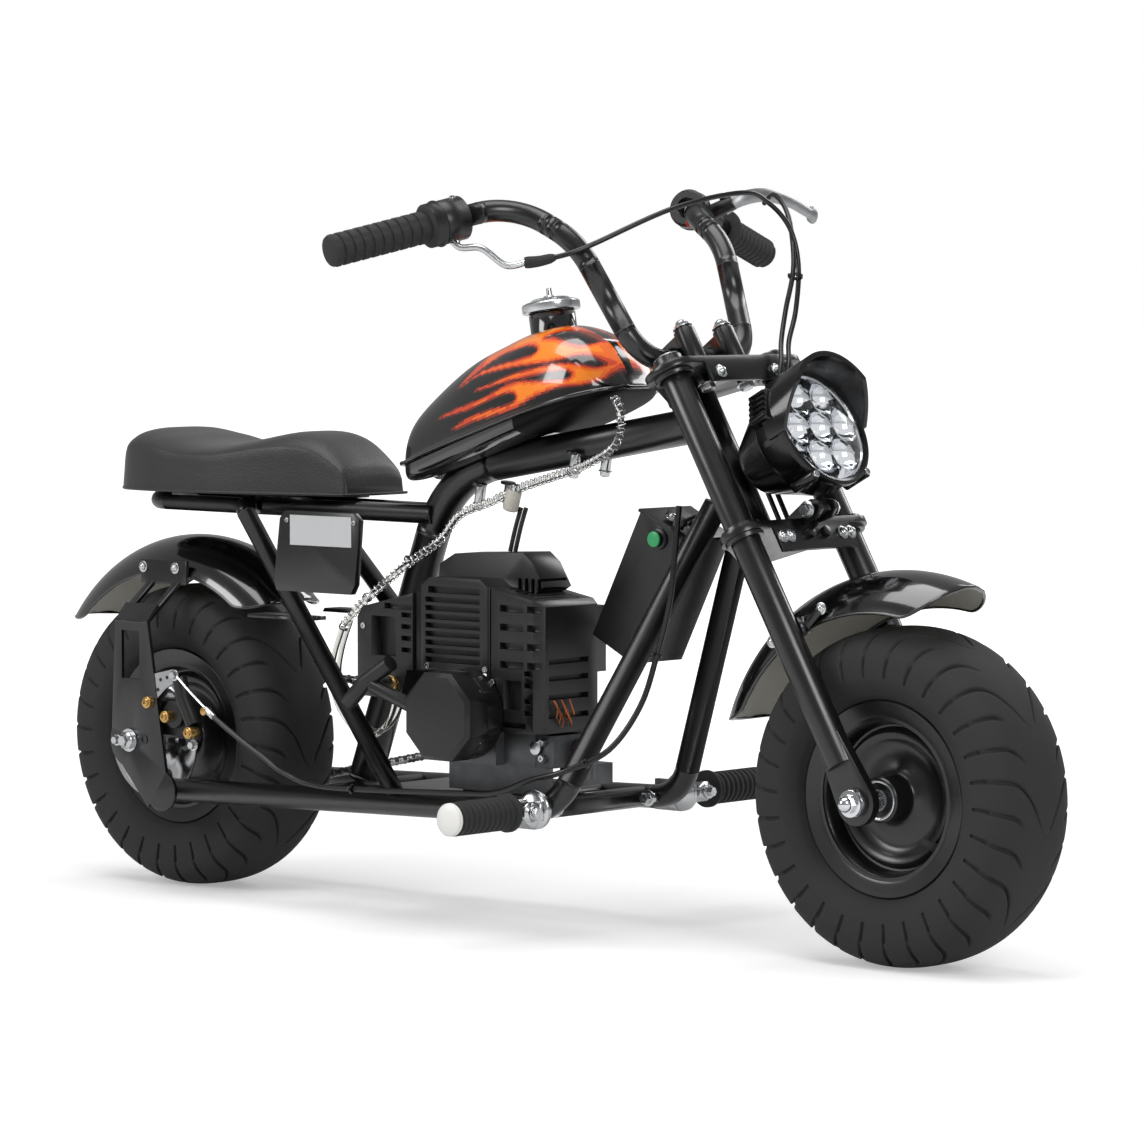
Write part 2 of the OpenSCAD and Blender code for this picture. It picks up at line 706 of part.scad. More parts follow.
module chain() color("#77777b") {
    w = 4.5;
    side_plate(sprocket_y - 2.2, sprocket_y + 2.2) offset(delta = 0.01) difference() {
        chain_band(roller_r - 0.4);
        chain_band(-roller_r + 0.4);
    }
    for (y = [sprocket_y - w, sprocket_y + 2 - 0.01]) side_plate(y, y + w - 2 + 0.01) offset(delta = 0.01) {
        difference() {
            chain_band(3.2);
            chain_band(-2.8);
        }
        // the waisted links of both straight runs
        for (s = [-1, 1])
            polygon(concat(
                [for (k = [1 : 2 * run_links - 1]) run_point(s, k / (2 * run_links), link_half(k / 2))],
                [for (k = [2 * run_links - 1 : -1 : 1]) run_point(s, k / (2 * run_links), -link_half(k / 2))]));
    }
}

module sprocket(x, z, teeth) {
    tip = pitch_r(teeth) - roller_r - 0.2;
    side_plate(sprocket_y - 1.6, sprocket_y + 1.6) translate([x, z])
        polygon([for (k = [0 : 4 * teeth - 1]) let (a = 90 * k / teeth)
            (k % 4 < 2 ? tip : tip - 3.4) * [cos(a), sin(a)]]);
}

module rear_sprocket() color("#7d7d80") {
    difference() {
        union() {
            sprocket(0, tyre_r, rear_teeth);
            drum(0, tyre_r, 26, hub_w / 2 + 0.2, sprocket_y);
            for (a = [0 : 90 : 270]) translate([0, sprocket_y, tyre_r]) rotate([0, a, 0])
                translate([19, 0, 0]) rotate([-90, 0, 0]) cylinder(r = 4, h = 5, $fn = 6);
        }
        drum(0, tyre_r, 12, 0, 200);
        for (a = [0 : 60 : 300]) translate([0, sprocket_y, tyre_r]) rotate([0, a + 30, 0])
            translate([43, 0, 0]) rotate([90, 0, 0]) cylinder(r = 10, h = 20, center = true);
    }
}

// Footpegs
peg_pivot = [down_foot.x - 12, peg_hinge_y, rail_z + 4];
module peg_mount() {
    difference() {
        union() {
            // plate with the clevis ears
            side_plate(peg_hinge_y - 24, peg_hinge_y - 18) {
                translate([peg_pivot.x, peg_pivot.z]) circle(20);
                translate([peg_pivot.x - 34, peg_pivot.z - 20]) square([34, 32]);
            }
            for (x = [-15, 9]) translate([peg_pivot.x + x, 0, peg_pivot.z])
                rotate([90, 0, 90]) linear_extrude(6) {
                    translate([peg_hinge_y, 0]) circle(10);
                    translate([peg_hinge_y - 18.5, -10]) square([18.5, 20]);
                }
            // pin, and the bolt through the rail
            bar([peg_pivot.x - 19, peg_hinge_y, peg_pivot.z], [peg_pivot.x + 19, peg_hinge_y, peg_pivot.z], 4);
            bar([peg_pivot.x + 17, peg_hinge_y, peg_pivot.z], [peg_pivot.x + 20, peg_hinge_y, peg_pivot.z], 7);
            bar([peg_pivot.x - 10, rail_y - 26, rail_z], [peg_pivot.x - 10, peg_hinge_y - 12, rail_z], 5);
        }
        cradle_tube(rail_r + seat_gap);
    }
}
module peg_mounts() color("#8c8c90") both_sides() peg_mount();

// A peg: its hinge knuckle, its steel core, the ribbed rubber and the end cap
module footpeg() {
    ribs = 11;
    pitch = peg_len / ribs;
    translate(peg_pivot) difference() {
        union() {
            rotate([0, 90, 0]) translate([0, 0, -8.5]) cylinder(r = 9, h = 17);
            rotate([-90, 0, 0]) cylinder(r = 8, h = 24);
            rotate([-90, 0, 0]) translate([0, 0, 18]) {
                cylinder(d = peg_d - 5, h = peg_len);
                for (k = [0 : ribs - 1]) translate([0, 0, k * pitch]) cylinder(d = peg_d, h = pitch * 0.56);
                cylinder(d = peg_d + 5, h = 4);
                translate([0, 0, peg_len - 3]) cylinder(d = peg_d - 2, h = 6);
            }
        }
        rotate([0, 90, 0]) translate([0, 0, -20]) cylinder(r = 4 + run_gap, h = 40);
    }
}
module footpeg_left() color("#1b1b1b") footpeg();
module footpeg_right() color("#1b1b1b") mirror([0, 1, 0]) footpeg();

// Steering
module fork_legs() color("#141416") steer() {
    both_sides() translate([0, leg_gap / 2, 0]) difference() {
        union() {
            translate([0, 0, 40]) cylinder(r = leg_r, h = upper_clamp_z - 40 + 14);
            translate([0, 6, 0]) rotate([90, 0, 0]) linear_extrude(10) {
                circle(22);
                polygon([[-22, 0], [-15, 70], [15, 70], [22, 0]]);
            }
        }
        rotate([90, 0, 0]) cylinder(r = axle_r + seat_gap, h = 60, center = true);
    }
}

module clamp_outline(leg_ring, stem_ring) {
    for (s = [-1, 1]) translate([0, s * leg_gap / 2]) circle(leg_ring);
    translate([-fork_offset, 0]) circle(stem_ring);
    polygon([[leg_ring, -leg_gap / 2], [leg_ring, leg_gap / 2], [-leg_ring * 0.5, leg_gap / 2 + leg_ring * 0.8],
        [-fork_offset - stem_ring * 0.6, stem_ring * 0.8], [-fork_offset - stem_ring * 0.6, -stem_ring * 0.8],
        [-leg_ring * 0.5, -leg_gap / 2 - leg_ring * 0.8]]);
}

// A clamp pressed from plate: its front edge is folded down by drop
module clamp_plate(leg_ring, stem_ring, drop) {
    difference() {
        union() {
            translate([0, 0, -clamp_t / 2]) linear_extrude(clamp_t) clamp_outline(leg_ring, stem_ring);
            both_sides() translate([0, leg_gap / 2, -clamp_t / 2 - 4]) cylinder(r = leg_r + 5, h = clamp_t + 8);
            translate([leg_ring - 4, -leg_gap / 2 + 20, -drop]) cube([4, leg_gap - 40, drop]);
        }
        both_sides() translate([0, leg_gap / 2, -30]) cylinder(r = leg_r + seat_gap, h = 60);
    }
}

module upper_clamp() color("#202022") steer() translate([0, 0, upper_clamp_z]) difference() {
    clamp_plate(28, 28, 24);
    translate([-fork_offset, 0, -20]) cylinder(d = stem_d + 0.6, h = 40);
}

module lower_clamp() color("#202022") steer() {
    translate([0, 0, lower_clamp_z]) clamp_plate(24, 26, 30);
    translate([-fork_offset, 0, lower_clamp_z]) cylinder(d = stem_d, h = upper_clamp_z - lower_clamp_z + 16);
    translate([-fork_offset, 0, upper_clamp_z + clamp_t / 2 + seat_gap]) cylinder(r = 17, h = 9, $fn = 6);
    both_sides() translate([24, 12, lower_clamp_z - 14]) rotate([0, 90, 0]) cylinder(r = 6, h = 6, $fn = 6);
}

bar_mid = [-27, 0, upper_clamp_z + bar_lift];
function bar_path(s) = [bar_mid + [0, s * (bar_shoulder - 50), 0], bar_mid + [8, s * (bar_shoulder - 19), bar_rise - 67],
    bar_mid + [-31, s * bar_shoulder, bar_rise], bar_mid + [-31 - bar_sweep, s * bar_half_w, bar_rise - 11]];
bar_end = bar_path(1)[3];
bar_out = unit(bar_end - bar_path(1)[2]);

module handlebar() color("#141416") steer()
    bent_tube(concat([for (k = [3 : -1 : 0]) bar_path(-1)[k]], bar_path(1)), [60, 90, 45, 45, 90, 60], bar_r);

// Risers: a post with a bolt through it, and a lid that slopes back over the bar
riser_y = 30;
riser_x = 24;
module bar_risers() color("#202022") steer() {
    base = upper_clamp_z + clamp_t / 2 + seat_gap;
    both_sides() difference() {
        union() {
            translate([bar_mid.x, 0, bar_mid.z]) translate([riser_x, riser_y, base - bar_mid.z]) {
                cylinder(r = 11, h = 44);
                translate([0, 0, 44]) cylinder(r = 9, h = 3);
                translate([0, 0, 47]) cylinder(r = 6.5, h = 4, $fn = 6);
            }
            translate([0, riser_y - 9, 0]) side_plate(0, 18) polygon([[bar_mid.x - 20, base], [bar_mid.x + riser_x, base],
                [bar_mid.x + riser_x, base + 42], [bar_mid.x - 10, bar_mid.z + 14], [bar_mid.x - 26, bar_mid.z + 6],
                [bar_mid.x - 20, bar_mid.z - 4]]);
            translate([bar_mid.x + riser_x, riser_y, upper_clamp_z - clamp_t / 2 - seat_gap - 8]) cylinder(r = 8, h = 8, $fn = 6);
        }
        translate(bar_mid) rotate([90, 0, 0]) cylinder(r = bar_r + seat_gap, h = 200, center = true);
    }
}

module grips() color("#161616") steer() both_sides() {
    end = bar_end + bar_out * 4;
    difference() {
        union() {
            bar(end - bar_out * grip_len, end, grip_d / 2);
            bar(end - bar_out * grip_len, end - bar_out * (grip_len - 5), grip_d / 2 + 5);
        }
        bar(end - bar_out * (grip_len + 1), bar_end + bar_out * seat_gap, bar_r + seat_gap);
    }
}

// A point along the left arm of the handlebar, back from the grip's inner end
function arm(back) = bar_end - bar_out * (grip_len - 4 + back);

module throttle() color("#18181a") steer() mirror([0, 1, 0]) difference() {
    bar(arm(40), arm(1), 22);
    bar(arm(50), arm(-5), bar_r + seat_gap);
}

module brake_lever() color("#9a9a9d") steer() difference() {
    lever = arm(22) + [24, 0, -6];
    union() {
        bar(arm(40), arm(6), 17);
        bar(arm(22) + [8, 0, 0], lever + [20, 8, 0], 6);
        bar(lever + [20, 8, 0], lever + bar_out * 120 + [20, 8, 0], 5);
    }
    bar(arm(50), arm(-30), bar_r + seat_gap);
}

// Headlight: a bowl that tapers to the back, a rim, a peak and two screw lugs
module lamp_frame() steer() translate([83, 0, lower_clamp_z + 73]) rotate([0, 90 - lamp_tilt + rake, 0]) children();

module lamp_bowl(grow) {
    translate([0, 0, -32]) cylinder(d = lamp_d + 2 * grow, h = 32);
    translate([0, 0, -lamp_deep]) cylinder(d1 = lamp_d * 0.5 + 2 * grow, d2 = lamp_d + 2 * grow, h = lamp_deep - 32);
    translate([0, 0, -6 - grow]) cylinder(d = lamp_d + 5 + 2 * grow, h = 6 + grow);
}

module headlight() color("#18181a") lamp_frame() difference() {
    union() {
        lamp_bowl(0);
        // peak over the upper half
        intersection() {
            translate([0, 0, -20]) difference() {
                cylinder(d = lamp_d + 9, h = 62);
                translate([0, 0, -1]) cylinder(d = lamp_d - 2, h = 70);
            }
            rotate([90, 0, 0]) linear_extrude(200, center = true)
                polygon([[-lamp_d, -19], [4, -19], [4, 2], [-lamp_d * 0.3, 32], [-lamp_d, 42]]);
        }
        // screw lugs at the bottom
        for (a = [-38, 38]) rotate([0, 0, a]) translate([lamp_d / 2 + 4, 0, -30]) cylinder(r = 5.5, h = 29);
        // ribbed block at the upper left and right
        both_sides() rotate([0, 0, 118]) translate([lamp_d / 2 - 8, -17, -31]) {
            cube([16, 34, 24]);
            for (k = [0 : 4]) translate([15.9, 3 + 6.5 * k, 2]) cube([3, 3, 20]);
        }
    }
    translate([0, 0, -16]) cylinder(d = lamp_d - 7, h = 50);
}

module headlight_lens() color("#dfe6ea") lamp_frame() intersection() {
    translate([0, 0, -14]) cylinder(d = lamp_d - 8, h = 60);
    translate([0, 0, -84]) sphere(100, $fn = 96);
}

// Two ears on the lower clamp, with the bolt that the headlight tilts on
module headlight_bracket() color("#1a1a1c") steer() translate([0, 0, lower_clamp_z]) {
    foot = clamp_t / 2 + seat_gap;
    both_sides() side_plate(9, 13)
        polygon([[4, foot], [24.3, foot], [25, -3], [42, -6], [51, -1], [52, 8], [44, 14], [30, 15], [10, 12]]);
    drum(40, 5, 4.5, -19, 19);
    block([27, -9.1, foot - 4], [46, 9.1, foot + 8]);
}

// Lugs that hold the front fender's edges to the fork legs
module front_fender_bracket() color("#1a1a1c") steer() both_sides() difference() {
    edge = fender_r + fender_t - fender_side;
    block([-16, fender_half_w + seat_gap, edge - 6], [16, leg_gap / 2 - 6, edge + 10]);
    translate([0, leg_gap / 2, 0]) cylinder(r = leg_r + seat_gap, h = 400);
}

module front_axle() color("#c4c4c6") translate([wheelbase, 0, tyre_r]) {
    drum(0, 0, axle_r, -leg_gap / 2 - 13, leg_gap / 2 + 13.2 + 10);
    both_sides() {
        translate([0, leg_gap / 2 + 6.2, 0]) rotate([-90, 0, 0]) cylinder(r = 11, h = 7, $fn = 6);
        drum(0, 0, 9, hub_w / 2 + 0.4, leg_gap / 2 - 4.2);
    }
}

// Wheels
function soft(v, e) = (v < 0 ? -1 : 1) * pow(abs(v), e);
module tyre() color("#151515") rotate([90, 0, 0]) rotate_extrude($fn = 96) {
    bead = rim_d / 2 - 19;
    half = rim_w / 2 - seat_gap;
    inner = rim_d / 2 - 5;
    mid = (tyre_r + inner) / 2;
    // the angle at which the sidewall comes in to the rim's flange
    foot = acos(pow(half / (tyre_w / 2), 1 / 0.72));
    polygon(concat([[bead, half], [bead, -half]],
        [for (k = [0 : 26]) let (a = 180 + foot - (180 + 2 * foot) * k / 26)
            [mid + (tyre_r - mid) * soft(sin(a), 0.78), tyre_w / 2 * soft(cos(a), 0.72)]]));
}

module rim() color("#1d1d20") rotate([90, 0, 0]) {
    bead = rim_d / 2 - 19 - seat_gap;
    rotate_extrude($fn = 96) {
        // bead seat with its two flanges
        polygon([[bead - 4, -rim_w / 2], [bead, -rim_w / 2], [bead, rim_w / 2], [bead - 4, rim_w / 2]]);
        for (s = [-1, 1]) translate([0, s > 0 ? rim_w / 2 - 0.01 : -rim_w / 2 - 3])
            polygon([[bead - 4, 0], [rim_d / 2, 0], [rim_d / 2, 3.01], [bead - 4, 3.01]]);
        // the dished disc and the hub
        polygon([[bead - 2, 20], [bead - 2, 25], [54, 15], [hub_d / 2 - 1, 15], [hub_d / 2 - 1, -15],
            [54, -15], [bead - 2, -25], [bead - 2, -20], [55, -10], [55, 10]]);
        translate([axle_r + run_gap, -hub_w / 2]) square([hub_d / 2 - axle_r - run_gap, hub_w]);
    }
}

module front_tyre() translate([wheelbase, 0, tyre_r]) tyre();
module front_rim() translate([wheelbase, 0, tyre_r]) rim();
module rear_tyre() translate([0, 0, tyre_r]) tyre();
module rear_rim() translate([0, 0, tyre_r]) rim();

// Hoses and cables
hose_route = [[604, -20, 531], [585, -27, 512], [540, -29, 495], [470, -30, 480], [400, -32, 458], [352, -40, 400],
    [326, -52, 345], [322, -56, 331]];
module fuel_hose() color("#d8d2b0") swept(route(hose_route, 4), 3, 8);

brake_route = [[735, -56, 440], [732, -58, 400], [728, -62, 345], [712, -63, 291], [698, -72, 240],
    [672, -90, 196], [634, -114, 174], [594, -120, 163], [545, -118, 147], [480, -115, 142], [300, -113, 135],
    [160, -113, 142], [100, -104, 160]];
module frame_cables() color("#141414") swept(route(brake_route, 4), 3, 8);

throttle_route = [
    [-48, -160, 623], [-23, -140, 615], [-1, -115, 615], [49, -35, 628], [76, 45, 631], [73, 84, 622],
    [69, 106, 595], [59, 108, 558], [45, 92, 514], [37, 70, 482], [37, 54, 456], [28, 42, 436],
    [4, 30, 424], [-12, 24, 398], [-14, 20, 350], [-14, 18, 293.2]];
lever_route = [
    [20, 152, 653], [43, 143, 649], [62, 122, 612], [61, 97, 556], [45, 76, 514], [37, 58, 482],
    [37, 42, 456], [28, 30, 434], [4, 18, 421], [-12, 10, 396], [-14, 6, 350], [-14, 4, 293.2]];
module bar_cables() color("#141414") steer() {
    swept(route(throttle_route, 4), 2.6, 8);
    swept(route(lever_route, 4), 2.6, 8);
}

place() backbone();
place() cradle_right();
place() cradle_left();
place() cross_members();
place() seat_rails();
place() seat_stays();
place() dropout_right();
place() dropout_left();
place() seat();
place() fuel_tank();
place() fuel_cap();
place() rear_fender();
place() rear_fender_bracket();
place() engine_block();
place() engine_shroud();
place() pull_starter();
place() air_box();
place() exhaust();
place() control_box();
place() side_panel();
place() rear_axle();
place() brake_caliper();
place() chain();
place() peg_mounts();
place() fuel_hose();
place() frame_cables();
place() fork_legs();
place() upper_clamp();
place() lower_clamp();
place() handlebar();
place() bar_risers();
place() grips();
place() throttle();
place() brake_lever();
place() headlight();
place() headlight_lens();
place() headlight_bracket();
place() front_fender();
place() front_fender_bracket();
place() front_axle();
place() bar_cables();
place() front_tyre();
place() front_rim();
place() rear_tyre();
place() rear_rim();
place() brake_disc();
place() rear_sprocket();
place() footpeg_right();
place() footpeg_left();
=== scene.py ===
"""Looks for the chopper-style minibike: paint, rubber, vinyl, castings, hoses and fasteners."""
import math

import bpy
import numpy as np
from bpy.props import FloatProperty, FloatVectorProperty, IntProperty, PointerProperty
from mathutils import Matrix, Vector


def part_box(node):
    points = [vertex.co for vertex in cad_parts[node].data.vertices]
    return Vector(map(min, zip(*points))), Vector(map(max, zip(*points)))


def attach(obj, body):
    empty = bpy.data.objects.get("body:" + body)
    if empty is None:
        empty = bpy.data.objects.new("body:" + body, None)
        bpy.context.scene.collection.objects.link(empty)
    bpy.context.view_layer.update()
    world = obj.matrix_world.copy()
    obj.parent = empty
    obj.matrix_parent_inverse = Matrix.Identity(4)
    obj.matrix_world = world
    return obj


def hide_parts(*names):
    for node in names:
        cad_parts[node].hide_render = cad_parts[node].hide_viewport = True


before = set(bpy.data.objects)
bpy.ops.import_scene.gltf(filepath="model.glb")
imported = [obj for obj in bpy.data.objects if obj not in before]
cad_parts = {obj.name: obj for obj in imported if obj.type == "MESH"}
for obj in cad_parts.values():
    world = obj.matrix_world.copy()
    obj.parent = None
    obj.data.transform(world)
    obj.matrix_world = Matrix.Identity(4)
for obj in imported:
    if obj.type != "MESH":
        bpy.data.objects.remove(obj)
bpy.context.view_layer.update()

bl_info = {
    "name": "Chopper Minibike",
    "version": (1, 0, 0),
    "blender": (4, 5, 0),
    "location": "3D View > Sidebar > Minibike",
    "description": "Dresses the packed minibike with its paint, rubber, castings and fasteners",
    "category": "Object",
}


def linear(hex_colour):
    """An sRGB hex colour as linear red, green, blue and alpha."""
    parts = [int(hex_colour[i:i + 2], 16) / 255 for i in (1, 3, 5)]
    return tuple(c / 12.92 if c <= 0.04045 else ((c + 0.055) / 1.055) ** 2.4 for c in parts) + (1.0,)


# Places in the bike's own millimetres: X forward from the rear axle, Y left, Z up from the ground
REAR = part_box("rear_tyre")
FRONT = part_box("front_tyre")
AXLE_X = (REAR[0].x + REAR[1].x) / 2
GROUND = REAR[0].z
TYRE_R = (REAR[1].z - REAR[0].z) * 500
TYRE_W = (REAR[1].y - REAR[0].y) * 500
WHEELBASE = ((FRONT[0].x + FRONT[1].x) / 2 - AXLE_X) * 1000
RAKE = math.radians(30)
FORK_OFFSET = 45.0


def bike(points):
    """Bike millimetres to the row's metres."""
    p = np.asarray(points, float) / 1000
    return p + np.array([AXLE_X, 0, GROUND])


def steered(points):
    """The steering's own millimetres, Z up the fork legs from the front axle, to bike millimetres."""
    p = np.atleast_2d(np.asarray(points, float))
    c, s = math.cos(RAKE), math.sin(RAKE)
    return np.stack([WHEELBASE + p[:, 0] * c - p[:, 2] * s, p[:, 1], TYRE_R + p[:, 0] * s + p[:, 2] * c], 1)


# Sizes and colours that a user may change

def colour(name, description, hex_colour):
    return FloatVectorProperty(name=name, description=description, subtype="COLOR", size=4,
                               min=0.0, max=1.0, default=linear(hex_colour))


def length(name, description, millimetres):
    return FloatProperty(name=name, description=description, default=millimetres / 1000, min=0.0, unit="LENGTH")


class MinibikeSizes(bpy.types.PropertyGroup):
    tread_grooves: IntProperty(name="Tread grooves", description="Grooves round each side of a tyre", default=30,
                               min=12, max=40)
    tread_depth: length("Tread depth", "Depth of the tread grooves", 4.5)
    welt: length("Seat welt", "Radius of the seat's piping", 1.6)
    spring_pitch: length("Spring pitch", "Distance between turns of the hose spring", 6.5)
    spring_wire: length("Spring wire", "Radius of the hose spring's wire", 0.55)
    lamp_cups: IntProperty(name="Lamp cups", description="Reflector cups round the middle one", default=6, min=4,
                           max=8)
    grip_blocks: IntProperty(name="Grip blocks", description="Rows of blocks along a grip", default=9, min=5, max=14)


class MinibikeColours(bpy.types.PropertyGroup):
    frame_paint: colour("Frame paint", "Satin black powder coat", "#0C0C0D")
    tank_paint: colour("Tank paint", "Gloss black enamel", "#070708")
    seat_vinyl: colour("Seat vinyl", "Black vinyl", "#121214")
    tyre: colour("Tyre rubber", "Black rubber", "#111112")


# Materials

def add(mat, kind, inputs=None, **settings):
    """Adds a node. An input given as a socket is linked, anything else is set on the socket."""
    n = mat.node_tree.nodes.new(kind)
    for key, value in settings.items():
        setattr(n, key, value)
    for key, value in (inputs or {}).items():
        if isinstance(value, bpy.types.NodeSocket):
            mat.node_tree.links.new(value, n.inputs[key])
        else:
            n.inputs[key].default_value = value
    return n


def bare_material(name):
    mat = bpy.data.materials.new(name)
    mat.use_nodes = True
    mat.node_tree.nodes.clear()
    return mat


def noise(mat, coords, size_mm, detail=3.0):
    return add(mat, "ShaderNodeTexNoise", {"Vector": coords, "Scale": 1000 / size_mm, "Detail": detail})


def surface(name, base, rough, grain_mm, grain_deep, drift=0.12, drift_mm=60, rough_drift=0.06, **shader):
    """A finish with a slow drift of its colour, a finer drift of its gloss and a grain."""
    mat = bare_material(name)
    tex = add(mat, "ShaderNodeTexCoord").outputs["Object"]
    slow = noise(mat, tex, drift_mm)
    tint = add(mat, "ShaderNodeMix", {"Factor": slow.outputs["Fac"],
                                      "A": [c * (1 - drift) for c in base[:3]] + [1],
                                      "B": [min(1, c * (1 + drift)) for c in base[:3]] + [1]}, data_type="RGBA")
    # the RGBA sockets of a mix node share their names with the number sockets
    sockets = [s for s in tint.inputs if s.type == "RGBA"]
    sockets[0].default_value = [c * (1 - drift) for c in base[:3]] + [1]
    sockets[1].default_value = [min(1, c * (1 + drift)) for c in base[:3]] + [1]
    result = next(s for s in tint.outputs if s.type == "RGBA")
    gloss = add(mat, "ShaderNodeMapRange", {"Value": noise(mat, tex, drift_mm * 0.4).outputs["Fac"],
                                            "To Min": rough - rough_drift, "To Max": rough + rough_drift})
    grain = noise(mat, tex, grain_mm, 2.0)
    bump = add(mat, "ShaderNodeBump", {"Height": grain.outputs["Fac"], "Distance": grain_mm / 4000,
                                       "Strength": grain_deep})
    inputs = {"Base Color": result, "Roughness": gloss.outputs["Result"], "Normal": bump.outputs["Normal"]}
    inputs.update(shader)
    bsdf = add(mat, "ShaderNodeBsdfPrincipled", inputs)
    add(mat, "ShaderNodeOutputMaterial", {"Surface": bsdf.outputs["BSDF"]})
    return mat


def powder_coat():
    """Powder coat baked on steel tube: satin, with a fine orange peel."""
    return surface("powder_coat", bpy.context.scene.minibike_colours.frame_paint, 0.3, 1.6, 0.10, drift=0.15,
                   rough_drift=0.05, **{"Coat Weight": 0.35, "Coat Roughness": 0.22})


def gloss_enamel():
    """Sprayed gloss enamel: a near mirror with a faint ripple."""
    return surface("gloss_enamel", bpy.context.scene.minibike_colours.tank_paint, 0.16, 6.0, 0.035, drift=0.1,
                   rough_drift=0.03, **{"Coat Weight": 1.0, "Coat Roughness": 0.04})


FLAME_TONES = ("#2E0D0B", "#7E2413", "#D2431A", "#F26C1A", "#FF8A1C")  # from the soft outer edge inwards
FLAME_DEPTHS = (-2.4, -1.0, 0.4, 1.8, 4.0)  # how deep inside the outline each tone starts, in millimetres


def rim_enamel():
    """Baked black enamel on spun steel: satin, with a soft ripple."""
    return surface("rim_enamel", bpy.context.scene.minibike_colours.frame_paint, 0.32, 5.0, 0.06, drift=0.12,
                   rough_drift=0.05, **{"Coat Weight": 0.3, "Coat Roughness": 0.2})


def under_enamel():
    """Dry overspray under the tank, where no lacquer reached: dull black."""
    return surface("under_enamel", bpy.context.scene.minibike_colours.tank_paint, 0.55, 2.0, 0.1, drift=0.1,
                   **{"Specular IOR Level": 0.12})


def flame_maker(tone):
    def flame_enamel():
        """Gloss enamel airbrushed on the tank, under lacquer: one tone of the flames."""
        return surface("flame_enamel_%d" % tone, linear(FLAME_TONES[tone]), 0.2, 6.0, 0.03, drift=0.05,
                       rough_drift=0.03, **{"Coat Weight": 1.0, "Coat Roughness": 0.04})
    return flame_enamel


def seat_vinyl():
    """Calendered vinyl over foam: soft sheen and a pebbled leather grain."""
    mat = surface("seat_vinyl", bpy.context.scene.minibike_colours.seat_vinyl, 0.46, 2.2, 0.3, drift=0.12,
                  **{"Sheen Weight": 0.15})
    nodes = mat.node_tree
    bump = next(n for n in nodes.nodes if n.type == "BUMP")
    tex = next(n for n in nodes.nodes if n.type == "TEX_COORD")
    cells = add(mat, "ShaderNodeTexVoronoi", {"Vector": tex.outputs["Object"], "Scale": 1000 / 2.0})
    nodes.links.new(cells.outputs["Distance"], bump.inputs["Height"])
    return mat


def moulded_abs():
    """Injection-moulded ABS with a spark-eroded grain: dull and even."""
    return surface("moulded_abs", linear("#111113"), 0.36, 0.9, 0.2, drift=0.08, rough_drift=0.04)


def gloss_plastic():
    """Polished moulded plastic, as on the lamp's bowl."""
    return surface("gloss_plastic", linear("#09090A"), 0.18, 3.0, 0.06, drift=0.1, rough_drift=0.04)


def die_cast():
    """Die-cast aluminium: pale, grainy and a little dull."""
    return surface("die_cast", linear("#A3A4A6"), 0.42, 1.2, 0.3, drift=0.18, drift_mm=18, Metallic=1.0)


def dark_cast():
    """Blackened casting inside the engine, with a dry film of dust."""
    return surface("dark_cast", linear("#5A5B5D"), 0.42, 1.2, 0.3, drift=0.3, drift_mm=14, Metallic=0.7)


def zinc_plate():
    """Bright zinc plate on steel fasteners."""
    return surface("zinc_plate", linear("#C8CACC"), 0.24, 0.8, 0.1, drift=0.1, drift_mm=9, Metallic=1.0)


def chrome():
    """Chrome plate: a clean mirror."""
    return surface("chrome", linear("#DADCDF"), 0.08, 4.0, 0.02, drift=0.04, rough_drift=0.03, Metallic=1.0)


def ground_steel():
    """Ground and drilled steel, with fine marks from the wheel."""
    return surface("ground_steel", linear("#B4B5B7"), 0.3, 0.7, 0.2, drift=0.12, drift_mm=12, Metallic=1.0)


def brass():
    """Turned brass, slightly tarnished."""
    return surface("brass", linear("#C8A468"), 0.28, 0.8, 0.1, drift=0.18, drift_mm=6, Metallic=1.0)


def copper_wire():
    """Enamelled copper wire."""
    return surface("copper_wire", linear("#B4643C"), 0.3, 0.6, 0.1, drift=0.2, drift_mm=5, Metallic=0.8)


def tyre_rubber():
    """Moulded tyre rubber: dry, a little grey where it is dusty."""
    return surface("tyre_rubber", bpy.context.scene.minibike_colours.tyre, 0.47, 1.4, 0.35, drift=0.22,
                   drift_mm=45, rough_drift=0.1)


def grip_rubber():
    """Soft moulded rubber with a matt bloom."""
    return surface("grip_rubber", linear("#151517"), 0.55, 0.9, 0.25, drift=0.12)


def cable_vinyl():
    """Extruded vinyl sheath on cables, smooth with a soft shine."""
    return surface("cable_vinyl", linear("#0D0D0E"), 0.3, 2.0, 0.08, drift=0.1)


def white_nylon():
    """Moulded white nylon caps."""
    return surface("white_nylon", linear("#E9E8E4"), 0.4, 1.2, 0.1, drift=0.04)


def primer_grey():
    """Pale etch primer left bare inside the fenders, with overspray."""
    return surface("primer_grey", linear("#B9B6AC"), 0.62, 1.2, 0.2, drift=0.14, drift_mm=30)


def label_foil():
    """Matt silver foil, left blank."""
    return surface("label_foil", linear("#C9CACB"), 0.4, 0.8, 0.06, drift=0.05, Metallic=0.5)


def green_button():
    """Translucent green moulding of the start button."""
    return surface("green_button", linear("#2F9A5F"), 0.35, 1.0, 0.1)


def red_switch():
    """Red moulding of the stop switch."""
    return surface("red_switch", linear("#B92418"), 0.35, 1.0, 0.1)


